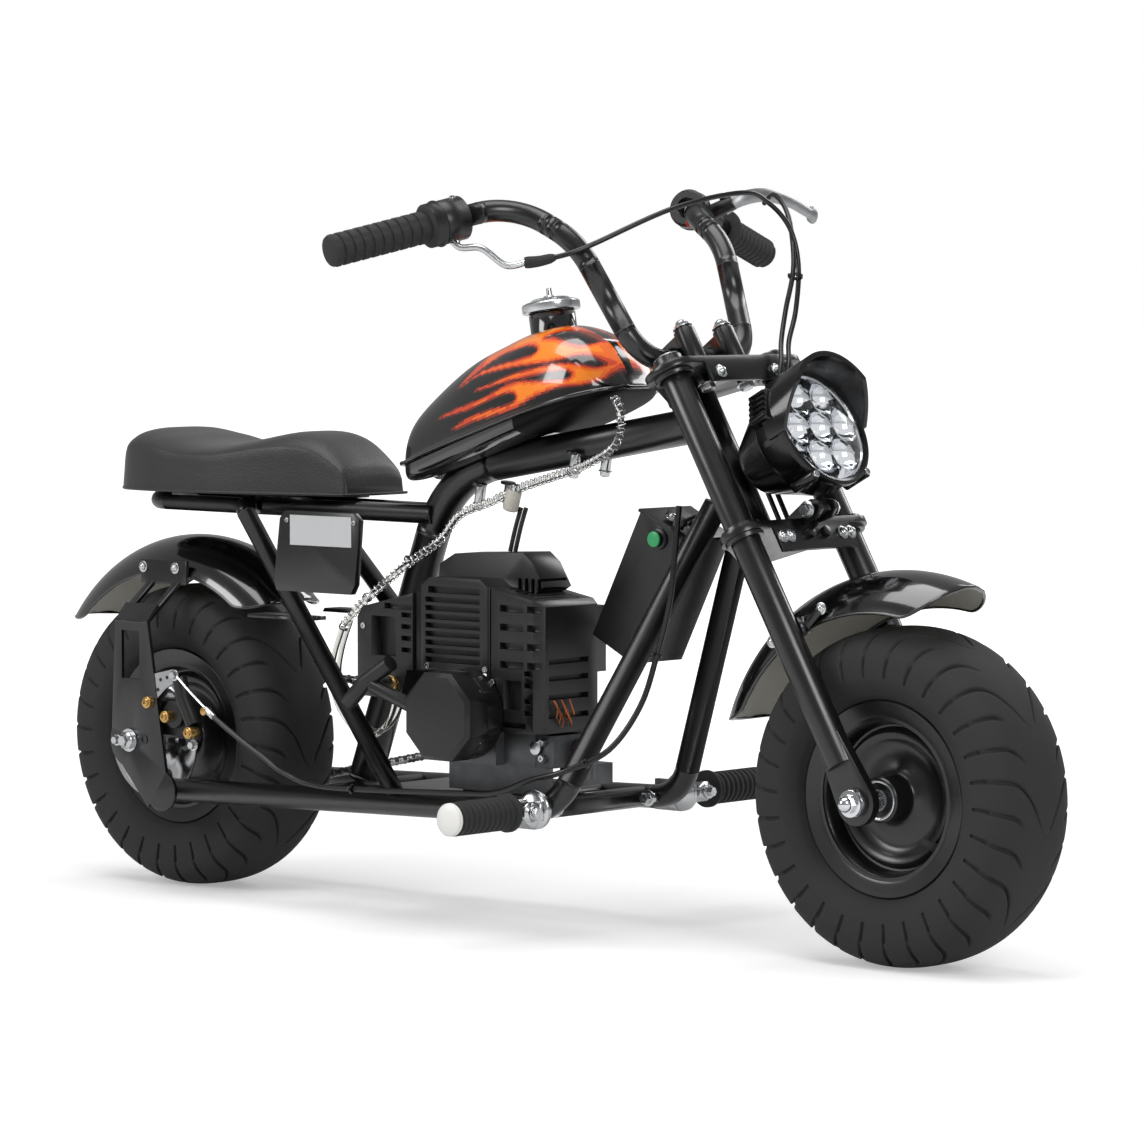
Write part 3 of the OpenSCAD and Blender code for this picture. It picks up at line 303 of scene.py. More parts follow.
def clear_shell(name, tint, rough, ior):
    mat = bare_material(name)
    tex = add(mat, "ShaderNodeTexCoord").outputs["Object"]
    haze = add(mat, "ShaderNodeMapRange", {"Value": noise(mat, tex, 20).outputs["Fac"], "To Min": rough,
                                           "To Max": rough + 0.05})
    bsdf = add(mat, "ShaderNodeBsdfPrincipled", {"Base Color": tint, "Roughness": haze.outputs["Result"],
                                                 "IOR": ior, "Transmission Weight": 1.0})
    add(mat, "ShaderNodeOutputMaterial", {"Surface": bsdf.outputs["BSDF"]})
    return mat


def clear_hose():
    """Extruded clear vinyl hose, faintly yellow where it is thick."""
    return clear_shell("clear_hose", linear("#F1F1EC"), 0.06, 1.3)


def polycarbonate():
    """Moulded polycarbonate lens: clear and hard."""
    return clear_shell("polycarbonate", linear("#FBFCFD"), 0.02, 1.2)


MAKERS = {f.__name__: f for f in (
    powder_coat, gloss_enamel, rim_enamel, under_enamel, seat_vinyl, moulded_abs, gloss_plastic, die_cast, dark_cast,
    zinc_plate, chrome, ground_steel, brass, copper_wire, tyre_rubber, grip_rubber, cable_vinyl, white_nylon,
    primer_grey, label_foil, green_button, red_switch, clear_hose, polycarbonate)}


MAKERS.update({"flame_enamel_%d" % k: flame_maker(k) for k in range(len(FLAME_TONES))})


def material(name):
    return bpy.data.materials.get(name) or MAKERS[name]()


# Shapes: each gives points in bike millimetres and faces

def smooth_route(points, steps=6):
    """A smooth curve through the points."""
    p = np.asarray(points, float)
    out = []
    for i in range(len(p) - 1):
        a, b, c, d = p[max(i - 1, 0)], p[i], p[i + 1], p[min(i + 2, len(p) - 1)]
        for k in range(steps):
            t = k / steps
            out.append(0.5 * (2 * b + (c - a) * t + (2 * a - 5 * b + 4 * c - d) * t * t
                              + (3 * b - a - 3 * c + d) * t ** 3))
    out.append(p[-1])
    return np.array(out)


def frames_along(path):
    """Tangent and two cross directions at each point, without twist."""
    path = np.asarray(path, float)
    t = np.gradient(path, axis=0)
    t /= np.linalg.norm(t, axis=1)[:, None]
    side = np.cross(t[0], [0, 0, 1.0] if abs(t[0][2]) < 0.9 else [1.0, 0, 0])
    sides = []
    for row in t:
        side = side - row * (side @ row)
        side /= np.linalg.norm(side)
        sides.append(side.copy())
    sides = np.array(sides)
    return t, sides, np.cross(t, sides)


def rings_to_faces(rings, count, closed_ends=True, wrap=False):
    faces = [(i * count + j, i * count + (j + 1) % count, (i + 1) * count + (j + 1) % count, (i + 1) * count + j)
             for i in range(rings - 1) for j in range(count)]
    if wrap:
        i = rings - 1
        faces += [(i * count + j, i * count + (j + 1) % count, (j + 1) % count, j) for j in range(count)]
    elif closed_ends:
        faces += [tuple(range(count - 1, -1, -1)), tuple((rings - 1) * count + j for j in range(count))]
    return faces


def tube(path, radius, sides=12):
    path = np.asarray(path, float)
    radius = np.broadcast_to(radius, len(path))
    t, u, v = frames_along(path)
    a = np.linspace(0, 2 * math.pi, sides, endpoint=False)
    pts = (path[:, None] + radius[:, None, None] * (np.cos(a)[None, :, None] * u[:, None]
                                                   + np.sin(a)[None, :, None] * v[:, None]))
    return pts.reshape(-1, 3), rings_to_faces(len(path), sides)


def helix(path, radius, wire, pitch, sides=5, per_turn=10):
    """A wire wound round a path."""
    path = np.asarray(path, float)
    step = np.linalg.norm(np.diff(path, axis=0), axis=1)
    s = np.concatenate([[0], np.cumsum(step)])
    n = int(s[-1] / pitch * per_turn)
    at = np.linspace(0, s[-1], n)
    centre = np.stack([np.interp(at, s, path[:, k]) for k in range(3)], 1)
    _, u, v = frames_along(centre)
    a = 2 * math.pi * at / pitch
    return tube(centre + radius * (np.cos(a)[:, None] * u + np.sin(a)[:, None] * v), wire, sides)


def lathe(profile, at, axis=(0, 1, 0), segments=96, wrap=True):
    """Turns a profile of (radius, distance along the axis) about an axis through a point."""
    axis = np.asarray(axis, float) / np.linalg.norm(axis)
    u = np.cross(axis, [0, 0, 1.0] if abs(axis[2]) < 0.9 else [1.0, 0, 0])
    u /= np.linalg.norm(u)
    v = np.cross(axis, u)
    a = np.linspace(0, 2 * math.pi, segments, endpoint=False)
    ring = np.cos(a)[:, None] * u + np.sin(a)[:, None] * v
    p = np.asarray(profile, float)
    pts = np.asarray(at, float) + p[None, :, 0:1] * ring[:, None] + p[None, :, 1:2] * axis
    n = len(p)
    faces = [(i * n + j, ((i + 1) % segments) * n + j, ((i + 1) % segments) * n + j + 1, i * n + j + 1)
             for i in range(segments) for j in range(n - 1)]
    if wrap:
        faces += [(i * n + n - 1, ((i + 1) % segments) * n + n - 1, ((i + 1) % segments) * n, i * n)
                  for i in range(segments)]
    return pts.reshape(-1, 3), faces


def rounded(radius, low, high, edge=1.0, bore=0.0):
    """The profile of a drum with eased edges, between two heights."""
    return [(bore, low), (radius - edge, low), (radius - edge * 0.3, low + edge * 0.3), (radius, low + edge),
            (radius, high - edge), (radius - edge * 0.3, high - edge * 0.3), (radius - edge, high), (bore, high)]


def drum(at, axis, radius, low, high, edge=1.0, segments=40):
    return lathe(rounded(radius, low, high, edge), at, axis, segments, wrap=False)


def hex_head(at, axis, across, height, washer=True):
    """A chamfered hexagon with its washer, standing on a face at a point."""
    r = across / math.sqrt(3)
    parts = []
    base = 1.2 if washer else 0.0
    if washer:
        parts.append(drum(at, axis, across * 0.78, 0, 1.2, 0.3, 28))
    parts.append(lathe([(0, base), (r, base), (r, base + height * 0.8), (r * 0.86, base + height), (0, base + height)],
                       at, axis, 6, wrap=False))
    return join(parts)


def dome_nut(at, axis, across, height):
    """A cap nut: a hexagon under a round dome."""
    a = np.linspace(0, math.pi / 2, 8)
    top = [(across * 0.46 * math.cos(x), height * 0.45 + height * 0.55 * math.sin(x)) for x in a]
    return join([hex_head(at, axis, across, height * 0.45), lathe([(0, height * 0.3)] + top, at, axis, 28, wrap=False)])


def socket_screw(at, axis, radius, height):
    """A round head with a hexagonal socket."""
    return join([
        lathe([(radius * 0.5, height * 0.35), (radius * 0.5, height * 0.98), (radius * 0.9, height), (radius, height * 0.85),
               (radius, 0), (0, 0)], at, axis, 24, wrap=False),
        lathe([(0, height * 0.35), (radius * 0.52, height * 0.35)], at, axis, 6, wrap=False)])


def box_between(low, high, edge=1.0):
    """A box with bevelled edges."""
    low, high = np.asarray(low, float), np.asarray(high, float)
    pts, faces = [], []
    levels = [(low[2], edge), (low[2] + edge, 0), (high[2] - edge, 0), (high[2], edge)]
    for z, inset in levels:
        x0, y0, x1, y1 = low[0] + inset, low[1] + inset, high[0] - inset, high[1] - inset
        e = edge
        pts += [(x0 + e, y0, z), (x1 - e, y0, z), (x1, y0 + e, z), (x1, y1 - e, z), (x1 - e, y1, z), (x0 + e, y1, z),
                (x0, y1 - e, z), (x0, y0 + e, z)]
    return np.array(pts), rings_to_faces(4, 8)


def turned(shape, at, about, degrees):
    """A shape turned about an axis through a point."""
    k = np.asarray(about, float) / np.linalg.norm(about)
    a = math.radians(degrees)
    p = shape[0] - np.asarray(at, float)
    p = p * math.cos(a) + np.cross(k, p) * math.sin(a) + np.outer(p @ k, k) * (1 - math.cos(a))
    return p + np.asarray(at, float), shape[1]


def mirrored(shape):
    """The same shape on the other side of the bike."""
    return shape[0] * [1, -1, 1], [f[::-1] for f in shape[1]]


def moved(shape, by):
    return shape[0] + np.asarray(by, float), shape[1]


def join(shapes):
    pts, faces, n = [], [], 0
    for p, f in shapes:
        pts.append(np.asarray(p, float))
        faces += [tuple(i + n for i in face) for face in f]
        n += len(p)
    return np.concatenate(pts), faces


def piece(name, shapes, body, replaces=(), crease=38.0):
    """Makes one object from (shape, material name) pairs, on a CAD body."""
    mesh = bpy.data.meshes.new(name)
    pts, faces = join([s for s, _ in shapes])
    mesh.from_pydata(bike(pts).tolist(), [], faces)
    used = []
    index = []
    for shape, finish_name in shapes:
        if finish_name not in used:
            used.append(finish_name)
            mesh.materials.append(material(finish_name))
        index += [used.index(finish_name)] * len(shape[1])
    mesh.polygons.foreach_set("material_index", index)
    mesh.validate()
    mesh.shade_smooth()
    mesh.set_sharp_from_angle(angle=math.radians(crease))
    obj = bpy.data.objects.new(name, mesh)
    bpy.context.scene.collection.objects.link(obj)
    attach(obj, body)
    if replaces:
        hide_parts(*replaces)
    return obj


# Wheels

def tyre_shape(centre_x):
    """A tyre whose grooves start on the sidewall, cross the shoulder and hook round the crown."""
    sizes = bpy.context.scene.minibike_sizes
    count = sizes.tread_grooves
    deep = sizes.tread_depth * 1000
    bead, half, inner = 76.0, 38.7, 90.0
    mid = (TYRE_R + inner) / 2
    foot = math.acos((half / TYRE_W) ** (1 / 0.72))
    share = np.array([0, 0.11, 0.22, 0.32, 0.385, 0.42, 0.45, 0.55, 0.58, 0.615, 0.68, 0.78, 0.89])
    groove = np.array([0, 0, 0, 0, 0, 0.12, 1, 1, 0.12, 0, 0, 0, 0.0])
    columns = np.concatenate([share + k for k in range(count)]) * 2 * math.pi / count
    lowered = np.tile(groove, count)
    which = np.repeat(np.arange(count), len(share))
    rows = [(bead, half)]
    a = np.linspace(math.pi + foot, -foot, 75)
    a = a + 0.10 * np.sin(2 * (a - math.pi / 2)) * -1
    pitch = 2 * math.pi / count
    pts = []

    def soft(v, e):
        return math.copysign(abs(v) ** e, v)

    profile = [(bead, -half, 1.5)] + [(mid + (TYRE_R - mid) * soft(math.sin(x), 0.78), TYRE_W * soft(math.cos(x), 0.72),
                                       abs(x - math.pi / 2) / (math.pi / 2)) for x in a] + [(bead, half, 1.5)]
    for r, y, s in profile:
        lean = pitch * (0.35 * max(0, 1 - s) + 1.5 * max(0, 1 - s / 0.55) ** 3)
        start = np.where(which % 3 == 0, 0.03, np.where(which % 3 == 1, 0.30, 0.20))
        shown = np.clip((s - start) / 0.04, 0, 1) * np.clip((1.10 - s) / 0.06, 0, 1)
        # a raised bead line beside the rim and two fine rings on the sidewall
        ring = 0.9 * math.exp(-((r - 101) / 1.6) ** 2) * (s > 1) + 0.6 * math.exp(-((s - 1.16) / 0.012) ** 2)
        rr = r - deep * lowered * shown
        yy = y + (np.sign(y) * (ring - 0.55 * deep * lowered * shown * (s > 0.8)))
        th = columns + lean
        pts.append(np.stack([centre_x + rr * np.sin(th), yy * np.ones_like(th), TYRE_R + rr * np.cos(th)], 1))
    n = len(columns)
    faces = rings_to_faces(len(profile), n, closed_ends=False, wrap=True)
    return np.concatenate(pts), faces


def rim_shape(centre_x):
    """A rim spun from sheet: rolled flange, well, ring and a dished disc with a hub barrel."""
    face = [(6.3, 48), (10, 48), (20.5, 48), (22, 46.5), (22, 24), (24, 21), (30, 18.5), (38, 16.5), (46, 15.5), (52, 16.5),
            (56, 20.5), (60, 23.5), (63.5, 24), (66.5, 22), (69, 18.5), (71, 19), (72.3, 23), (72.8, 30), (74, 35.5),
            (77, 38.5), (82, 40), (88, 40.6), (92, 41.6), (94.5, 42), (95.6, 41.2), (95.4, 39.6), (92, 39.2), (75.8, 39.2)]
    profile = face + [(r, -y) for r, y in face[::-1]]
    return lathe(profile, (centre_x, 0, TYRE_R), segments=120)


def bearing_and_valve(centre_x):
    parts = []
    for side in (-1, 1):
        at = (centre_x, side * 48.0, TYRE_R)
        axis = (0, side, 0)
        parts.append((lathe([(8, 0.2), (10, 0.6), (10.4, 0.6), (10.4, -0.4), (8, -0.4)], at, axis, 40), "zinc_plate"))
        parts.append((lathe([(10.6, 0.2), (17, 0.2), (17, -0.4), (10.6, -0.4)], at, axis, 40), "cable_vinyl"))
        parts.append((lathe([(17, 0.3), (18.5, 0.8), (19.5, 0.3), (19.5, -0.4), (17, -0.4)], at, axis, 40), "zinc_plate"))
    stem = [(centre_x + 55, -21, TYRE_R - 46), (centre_x + 50, -30, TYRE_R - 42), (centre_x + 43, -36, TYRE_R - 37)]
    parts.append((tube(smooth_route(stem, 5), np.linspace(5.2, 3.8, 11), 16), "grip_rubber"))
    return parts


class MINIBIKE_OT_wheels(bpy.types.Operator):
    """Tyres with their tread, spun rims, bearings and valves"""
    bl_idname = "minibike.wheels"
    bl_label = "Wheels"

    def execute(self, context):
        for end, x in (("front", WHEELBASE), ("rear", 0.0)):
            body = end + "_wheel"
            piece(end + "_tyre_tread", [(tyre_shape(x), "tyre_rubber")], body, [end + "_tyre"], 50)
            piece(end + "_spun_rim", [(rim_shape(x), "rim_enamel")], body, [end + "_rim"], 40)
            piece(end + "_wheel_small_parts", bearing_and_valve(x), body)
        return {"FINISHED"}


# Bodywork

TANK_X = (322.0, 631.1)
SEAT_BASE = 434.0
TANK_ROWS = (  # share of the length from the rear, top, bottom, half width as a share of the widest
    (0, 38, 30, 0.14), (0.016, 60, 21, 0.30), (0.05, 84, 17, 0.40), (0.167, 113, 24, 0.55), (0.33, 144, 40, 0.73),
    (0.5, 165, 57, 0.88), (0.62, 177, 69, 0.96), (0.74, 182, 82, 1), (0.86, 172, 97, 0.95), (0.932, 154, 107, 0.78),
    (0.98, 132, 115, 0.48), (1, 124, 121, 0.18))
TANK_HALF = 68.0


def tank_seam(x):
    return SEAT_BASE + 34 + (x - 321) * math.tan(math.radians(15.8))


def tank_shape():
    """The two pressed shells of the tank, with the tunnel over the backbone tube."""
    rows = smooth_route(TANK_ROWS, 22)
    rows[:, 3] = np.clip(rows[:, 3], 0.1, 1)
    around = 240
    pts = []
    for share, top, bottom, wide in rows:
        x = TANK_X[0] + share * (TANK_X[1] - TANK_X[0])
        w, top, bottom = wide * TANK_HALF, SEAT_BASE + top, SEAT_BASE + bottom
        seam = min(max(tank_seam(x), bottom + 2), top - 2)
        for k in range(around):
            a = 2 * math.pi * k / around
            c, s = math.cos(a), math.sin(a)
            if s >= 0:
                y, z = w * math.copysign(abs(c) ** 0.8, c), seam + (top - seam) * s ** 0.86
            else:
                y, z = w * math.copysign(abs(c) ** 0.45, c), seam - (seam - bottom) * abs(s) ** 0.5
            tube_top = 462 + (x - 372) * 0.1652 + math.sqrt(max(0.0, 19.7 ** 2 - min(abs(y), 19.7) ** 2))
            if s < -0.3 and abs(y) < 24:
                z = max(z, tube_top if abs(y) < 19.7 else z)
            pts.append((x, y, z))
    return np.array(pts), rings_to_faces(len(rows), around)


FLAMES = (  # X and Z of the airbrushed flames' outline, seen from the side
    (421, 551), (444, 574), (460, 592), (480, 603), (507, 611), (537, 617), (567, 616), (590, 608), (606, 596), (618, 581),
    (621, 567), (617, 561), (603, 557), (584, 555), (567, 550), (550, 544), (533, 536), (509, 529), (484, 523), (450, 516),
    (421, 508), (443, 519), (467, 526), (493, 532), (512, 535), (523, 540), (525, 545), (520, 548), (507, 547), (491, 543),
    (472, 537), (449, 530), (425, 525), (393, 519), (424, 529), (455, 537), (481, 545), (506, 555), (527, 560), (553, 561),
    (576, 562), (590, 563), (595, 566), (594, 570), (586, 572), (576, 571), (562, 569), (541, 565), (511, 560), (479, 553),
    (455, 549), (485, 558), (516, 567), (544, 573), (572, 578), (592, 579), (606, 576), (613, 575), (615, 578), (610, 583),
    (601, 587), (591, 586), (577, 582), (554, 578), (522, 575), (493, 571), (455, 564), (428, 553), (438, 559), (459, 569),
    (483, 575), (509, 580), (533, 585), (542, 589), (542, 593), (533, 596), (522, 595), (508, 592), (483, 585), (455, 571))
FLAME_GAP = ((543, 604), (556, 610), (568, 611), (582, 608), (595, 602), (595, 598), (588, 597), (571, 601), (557, 604))


def inside_distance(points, outlines):
    """How far each X, Z point lies inside the outlines; outside it is below nought."""
    best = np.full(len(points), 1e9)
    crossings = np.zeros(len(points), int)
    for outline in outlines:
        closed = smooth_route(list(outline) + [outline[0]], 3)
        for a, b in zip(closed[:-1], closed[1:]):
            d = b - a
            t = np.clip(((points - a) @ d) / max(d @ d, 1e-9), 0, 1)
            best = np.minimum(best, np.linalg.norm(points - a - t[:, None] * d, axis=1))
            spans = (a[1] > points[:, 1]) != (b[1] > points[:, 1])
            with np.errstate(divide="ignore", invalid="ignore"):
                at = a[0] + (points[:, 1] - a[1]) * d[0] / (d[1] if d[1] else 1e-9)
            crossings += (spans & (points[:, 0] < at)).astype(int)
    return np.where(crossings % 2 == 1, best, -best)


def seam_flange():
    """The rolled seam round the tank where its shells are joined."""
    rows = smooth_route(TANK_ROWS, 5)
    left = []
    for share, top, bottom, wide in rows:
        x = TANK_X[0] + share * (TANK_X[1] - TANK_X[0])
        z = min(max(tank_seam(x), SEAT_BASE + bottom + 3), SEAT_BASE + top - 3)
        left.append((x + (2.5 if share > 0.97 else -2.5 if share < 0.03 else 0), min(1, max(0.14, wide)) * TANK_HALF + 3.0, z))
    loop = left + [(x, -y, z) for x, y, z in left[::-1]]
    path = np.array(loop + [loop[0]])
    return tube(path, 2.2, 8)


class MINIBIKE_OT_tank(bpy.types.Operator):
    """Fuel tank with its flames, seam, neck, cap and mounting studs"""
    bl_idname = "minibike.tank"
    bl_label = "Fuel tank"

    def execute(self, context):
        shape = tank_shape()
        neck_base = np.array([522.0, 0, SEAT_BASE + 156])
        up = np.array([-math.sin(math.radians(10)), 0, math.cos(math.radians(10))])
        neck = lathe([(0, 0), (26.5, 14), (24.5, 17), (24, 19), (24, 38), (21, 40), (0, 40)], neck_base, up, 64, wrap=False)
        obj = piece("tank_shells", [(shape, "gloss_enamel"), (seam_flange(), "gloss_enamel"), (neck, "gloss_enamel")],
                    "frame", ["fuel_tank"], 60)
        middles = np.array([shape[0][list(f)].mean(axis=0) for f in shape[1]])
        depth = inside_distance(middles[:, [0, 2]], (FLAMES, FLAME_GAP))
        # the tails, towards the rear, stay red
        tone = np.searchsorted(FLAME_DEPTHS, depth)
        tone = np.where(middles[:, 0] < 455, np.minimum(tone, 3), np.where(middles[:, 0] < 500, np.minimum(tone, 4), tone))
        tone[(np.abs(middles[:, 1]) < 6) | (middles[:, 2] < 506)] = 0
        for k in range(len(FLAME_TONES)):
            obj.data.materials.append(material("flame_enamel_%d" % k))
        index = np.zeros(len(obj.data.polygons), np.int32)
        index[:len(tone)] = tone
        # the lower shell's front faces down and shows its dull underside
        below = middles[:, 2] < np.array([tank_seam(x) for x in middles[:, 0]]) - 1
        obj.data.materials.append(material("under_enamel"))
        index[:len(tone)][below & (middles[:, 0] > 520)] = len(FLAME_TONES) + 1
        obj.data.polygons.foreach_set("material_index", index)
        cap_base = neck_base + up * 40.3
        ridges = 60
        rim = lathe([(24, 0), (29.5, 0.4), (30, 1.5), (30, 8), (29, 9.4), (26, 10.6), (21, 11.2), (20.6, 10.4), (19, 10.2), (0, 10.4)],
                    cap_base, up, ridges, wrap=False)
        middle = lathe([(0, 10.5), (20, 10.5), (20.4, 12.6), (18, 13.8), (7, 14.2), (6, 16.5), (3, 17.2), (2.6, 24.5), (0, 25)],
                       cap_base, up, 48, wrap=False)
        piece("fuel_cap_chrome", [(rim, "zinc_plate"), (middle, "zinc_plate")], "frame", ["fuel_cap"], 35)
        studs = []
        for x, z, y in ((434, 456, -22), (567, 492, -24)):
            for side in (1, -1):
                studs.append((drum((x, side * y, z - 24), (0.16, 0, 1), 5.5, 0, 20, 0.8, 24), "zinc_plate"))
                studs.append((drum((x, side * y, z - 6), (0.16, 0, 1), 8, 0, 3, 0.8, 24), "powder_coat"))
                studs.append((hex_head((x, side * y, z - 24), (-0.16, 0, -1), 9, 5), "zinc_plate"))
        piece("tank_studs", studs, "frame")
        return {"FINISHED"}


SEAT_ROWS = (  # share of the length from the rear, crown above the base, half width as a share of the widest
    (0, 12, 0.60), (0.006, 26, 0.68), (0.02, 42, 0.77), (0.08, 66, 0.91), (0.2, 62, 1), (0.33, 54, 1), (0.47, 53, 0.98),
    (0.6, 59, 0.88), (0.75, 67, 0.72), (0.86, 60, 0.6), (0.96, 38, 0.52), (0.99, 24, 0.5), (1, 12, 0.47))
SEAT_FRONT, SEAT_LEN, SEAT_HALF, SEAT_NOSE = 263.0, 324.0, 86.0, 44.0


def seat_row(share, crown, wide, around):
    x = SEAT_FRONT - SEAT_LEN + share * SEAT_LEN
    w = SEAT_NOSE + (SEAT_HALF - SEAT_NOSE) * (wide - 0.48) / 0.52
    edge = min(37.0, crown * 0.6)
    out = []
    for k in range(around + 1):
        a = math.pi * k / around
        c, s = math.cos(a), math.sin(a)
        y = w * math.copysign(abs(c) ** 0.65, c) if abs(c) > 0.02 else 0
        # the sides pull in a little under the crown's seam
        pull = 1 - 0.012 * math.exp(-((s - 0.2) / 0.12) ** 2)
        out.append((x, y * pull, SEAT_BASE + edge * min(1, 3 * s) ** 0.9 + (crown - edge) * s ** 0.8))
    return out


class MINIBIKE_OT_seat(bpy.types.Operator):
    """Two-hump vinyl seat with its welt"""
    bl_idname = "minibike.seat"
    bl_label = "Seat"

    def execute(self, context):
        around = 48
        rows = smooth_route(SEAT_ROWS, 6)
        rings = [seat_row(r[0], r[1], r[2], around) for r in rows]
        pts = np.array([p for ring in rings for p in ring])
        shape = (pts, rings_to_faces(len(rings), around + 1))
        cover = piece("seat_cover", [(shape, "seat_vinyl")], "frame", ["seat"], 60)
        welt = context.scene.minibike_sizes.welt * 1000
        loop = [(ring[0][0], ring[0][1] - 0.6, SEAT_BASE + 1.8) for ring in rings[1:-1:2]]
        loop = loop + [(x, -y, z) for x, y, z in loop[::-1]]
        loop.append(loop[0])
        piece("seat_welt", [(tube(smooth_route(loop, 2), welt, 8), "seat_vinyl")], "frame", crease=60)
        return {"FINISHED"}


def fender_shape(to_bike, first, last):
    """A crowned fender with rounded tips, dark outside and bare inside, and a rolled edge."""
    radius, thick, half, side = TYRE_R + 51, 2.6, 58.0, 38.0
    bow = (half * half + side * side) / (2 * side)
    centre = radius + 3 - bow
    steps, across = 90, 28
    outer, inner = [], []
    edge_left, edge_right = [], []
    for i in range(steps + 1):
        u = i / steps
        tip = min(1.0, math.sqrt(max(0.0, 1 - (1 - min(u, 1 - u) / 0.11) ** 2)) if min(u, 1 - u) < 0.11 else 1.0)
        reach = math.asin(half / bow) * max(0.10, tip)
        phi = math.radians(first + (last - first) * u)
        for rows, drop in ((outer, 0.0), (inner, thick)):
            for j in range(across + 1):
                b = reach * (2 * j / across - 1)
                r, y = centre + (bow - drop) * math.cos(b), (bow - drop) * math.sin(b)
                rows.append((r * math.cos(phi), y, r * math.sin(phi)))
        r, y = centre + (bow - thick / 2) * math.cos(reach), (bow - thick / 2) * math.sin(reach)
        edge_left.append((r * math.cos(phi), y, r * math.sin(phi)))
        edge_right.append((r * math.cos(phi), -y, r * math.sin(phi)))
    n = across + 1
    quads = [(i * n + j, i * n + j + 1, (i + 1) * n + j + 1, (i + 1) * n + j) for i in range(steps) for j in range(across)]
    bead = np.array(edge_left + edge_right[::-1] + [edge_left[0]])
    return ((to_bike(np.array(outer)), quads), (to_bike(np.array(inner)), [q[::-1] for q in quads]),
            (to_bike(tube(bead, 1.9, 8)[0]), tube(bead, 1.9, 8)[1]))


def about_rear(p):
    return np.asarray(p, float) + [0, 0, TYRE_R]


class MINIBIKE_OT_fenders(bpy.types.Operator):
    """Both fenders, with bare primer inside, rolled edges and bolts"""
    bl_idname = "minibike.fenders"
    bl_label = "Fenders"

    def execute(self, context):
        for name, body, place, first, last in (("front_fender", "fork", steered, 41, 133),
                                               ("rear_fender", "frame", about_rear, 45, 145)):
            outside, inside, bead = fender_shape(place, first, last)
            piece(name + "_pressing", [(outside, "gloss_enamel"), (inside, "primer_grey"), (bead, "gloss_enamel")],
                  body, [name], 60)
        bolts = []
        for x, z in ((-28, 350), (22, 350)):
            for side in (-1, 1):
                bolts.append((dome_nut((x, side * 62.6, z), (0, side, 0), 8, 5), "zinc_plate"))
        piece("rear_fender_bolts", bolts, "frame")
        bolts = []
        for x in (-34.0, 36.0):
            for side in (-1, 1):
                at = steered([(x, side * 57.5, 189)])[0]
                bolts.append((dome_nut(at, (0, side, 0), 8, 5), "zinc_plate"))
                low, high = steered([(0, side * 63.0, 176)])[0], steered([(x, side * 57.5, 189)])[0]
                bolts.append((tube([low, (low + high) / 2, high], 4.0, 6), "powder_coat"))
        piece("front_fender_bolts", bolts, "fork")
        return {"FINISHED"}


# Steering

BAR_MID = np.array([-27.0, 0, 498.0])
BAR_CORNER = BAR_MID + [-31, 131, 197]
BAR_END = BAR_MID + [-106, 327, 186]


def bar_axis(side):
    m = np.array([1, side, 1])
    out = (BAR_END - BAR_CORNER) / np.linalg.norm(BAR_END - BAR_CORNER)
    return BAR_END * m, out * m


def grip_shape(side):
    """A moulded grip: rows of raised blocks between grooves, a flange and a rounded end."""
    end, out = bar_axis(side)
    sizes = bpy.context.scene.minibike_sizes
    rows, around = sizes.grip_blocks, 36
    path, radii = [], []
    for k, (s, r) in enumerate([(-112, 21), (-108.5, 21.5), (-107, 20), (-106, 14.2)]):
        path.append(s)
        radii.append(r)
    for k in range(rows):
        a = -104 + k * 98 / rows
        w = 98 / rows
        for f, r in ((0.06, 14.4), (0.14, 16.2), (0.86, 16.4), (0.94, 14.4)):
            path.append(a + f * w)
            radii.append(r)
    for s, r in ((-4, 16.4), (0, 16.3), (2.6, 15), (3.8, 12), (4.0, 0.6)):
        path.append(s)
        radii.append(r)
    t = out
    u = np.cross(t, [0, 0, 1.0])
    u /= np.linalg.norm(u)
    v = np.cross(t, u)
    pts = []
    for s, r in zip(path, radii):
        for j in range(around):
            b = 2 * math.pi * j / around
            dip = 1.4 if (j % 6 == 0 and 15.5 < r < 17) else 0
            pts.append(end + t * s + (r - dip) * (math.cos(b) * u + math.sin(b) * v))
    faces = rings_to_faces(len(path), around)
    return steered(np.array(pts)), faces


def on_bar(side, back, off=(0, 0, 0)):
    end, out = bar_axis(side)
    return end - out * back + np.array(off, float)


def ring_on_bar(side, start, stop, radius, edge=1.5):
    end, out = bar_axis(side)
    shape = lathe([(11.3, -start), (radius - edge, -start), (radius, -start - edge), (radius, -stop + edge),
                   (radius - edge, -stop), (11.3, -stop)][::-1], end, out, 48)
    return steered(shape[0]), shape[1]


def lever_blade():
    """The forged brake lever on the left: a flat blade that swells to a ball."""
    start = on_bar(1, 158, (30, 2, -4))
    points = [start, start + [14, 12, 2], start + [22, 40, 2], start + [18, 80, -2], start + [6, 118, -6], start + [-2, 140, -8]]
    path = smooth_route(points, 6)
    t, u, v = frames_along(path)
    pts = []
    n = len(path)
    for i in range(n):
        s = i / (n - 1)
        wide = 8.5 - 3.2 * s + (3.2 if s > 0.93 else 0)
        thin = 3.6 + (2.4 if s > 0.93 else 0)
        for k in range(12):
            b = 2 * math.pi * k / 12
            pts.append(path[i] + wide * math.cos(b) * np.array([0.35, 0, 0.94]) + thin * math.sin(b) * u[i])
    return steered(np.array(pts)), rings_to_faces(n, 12)


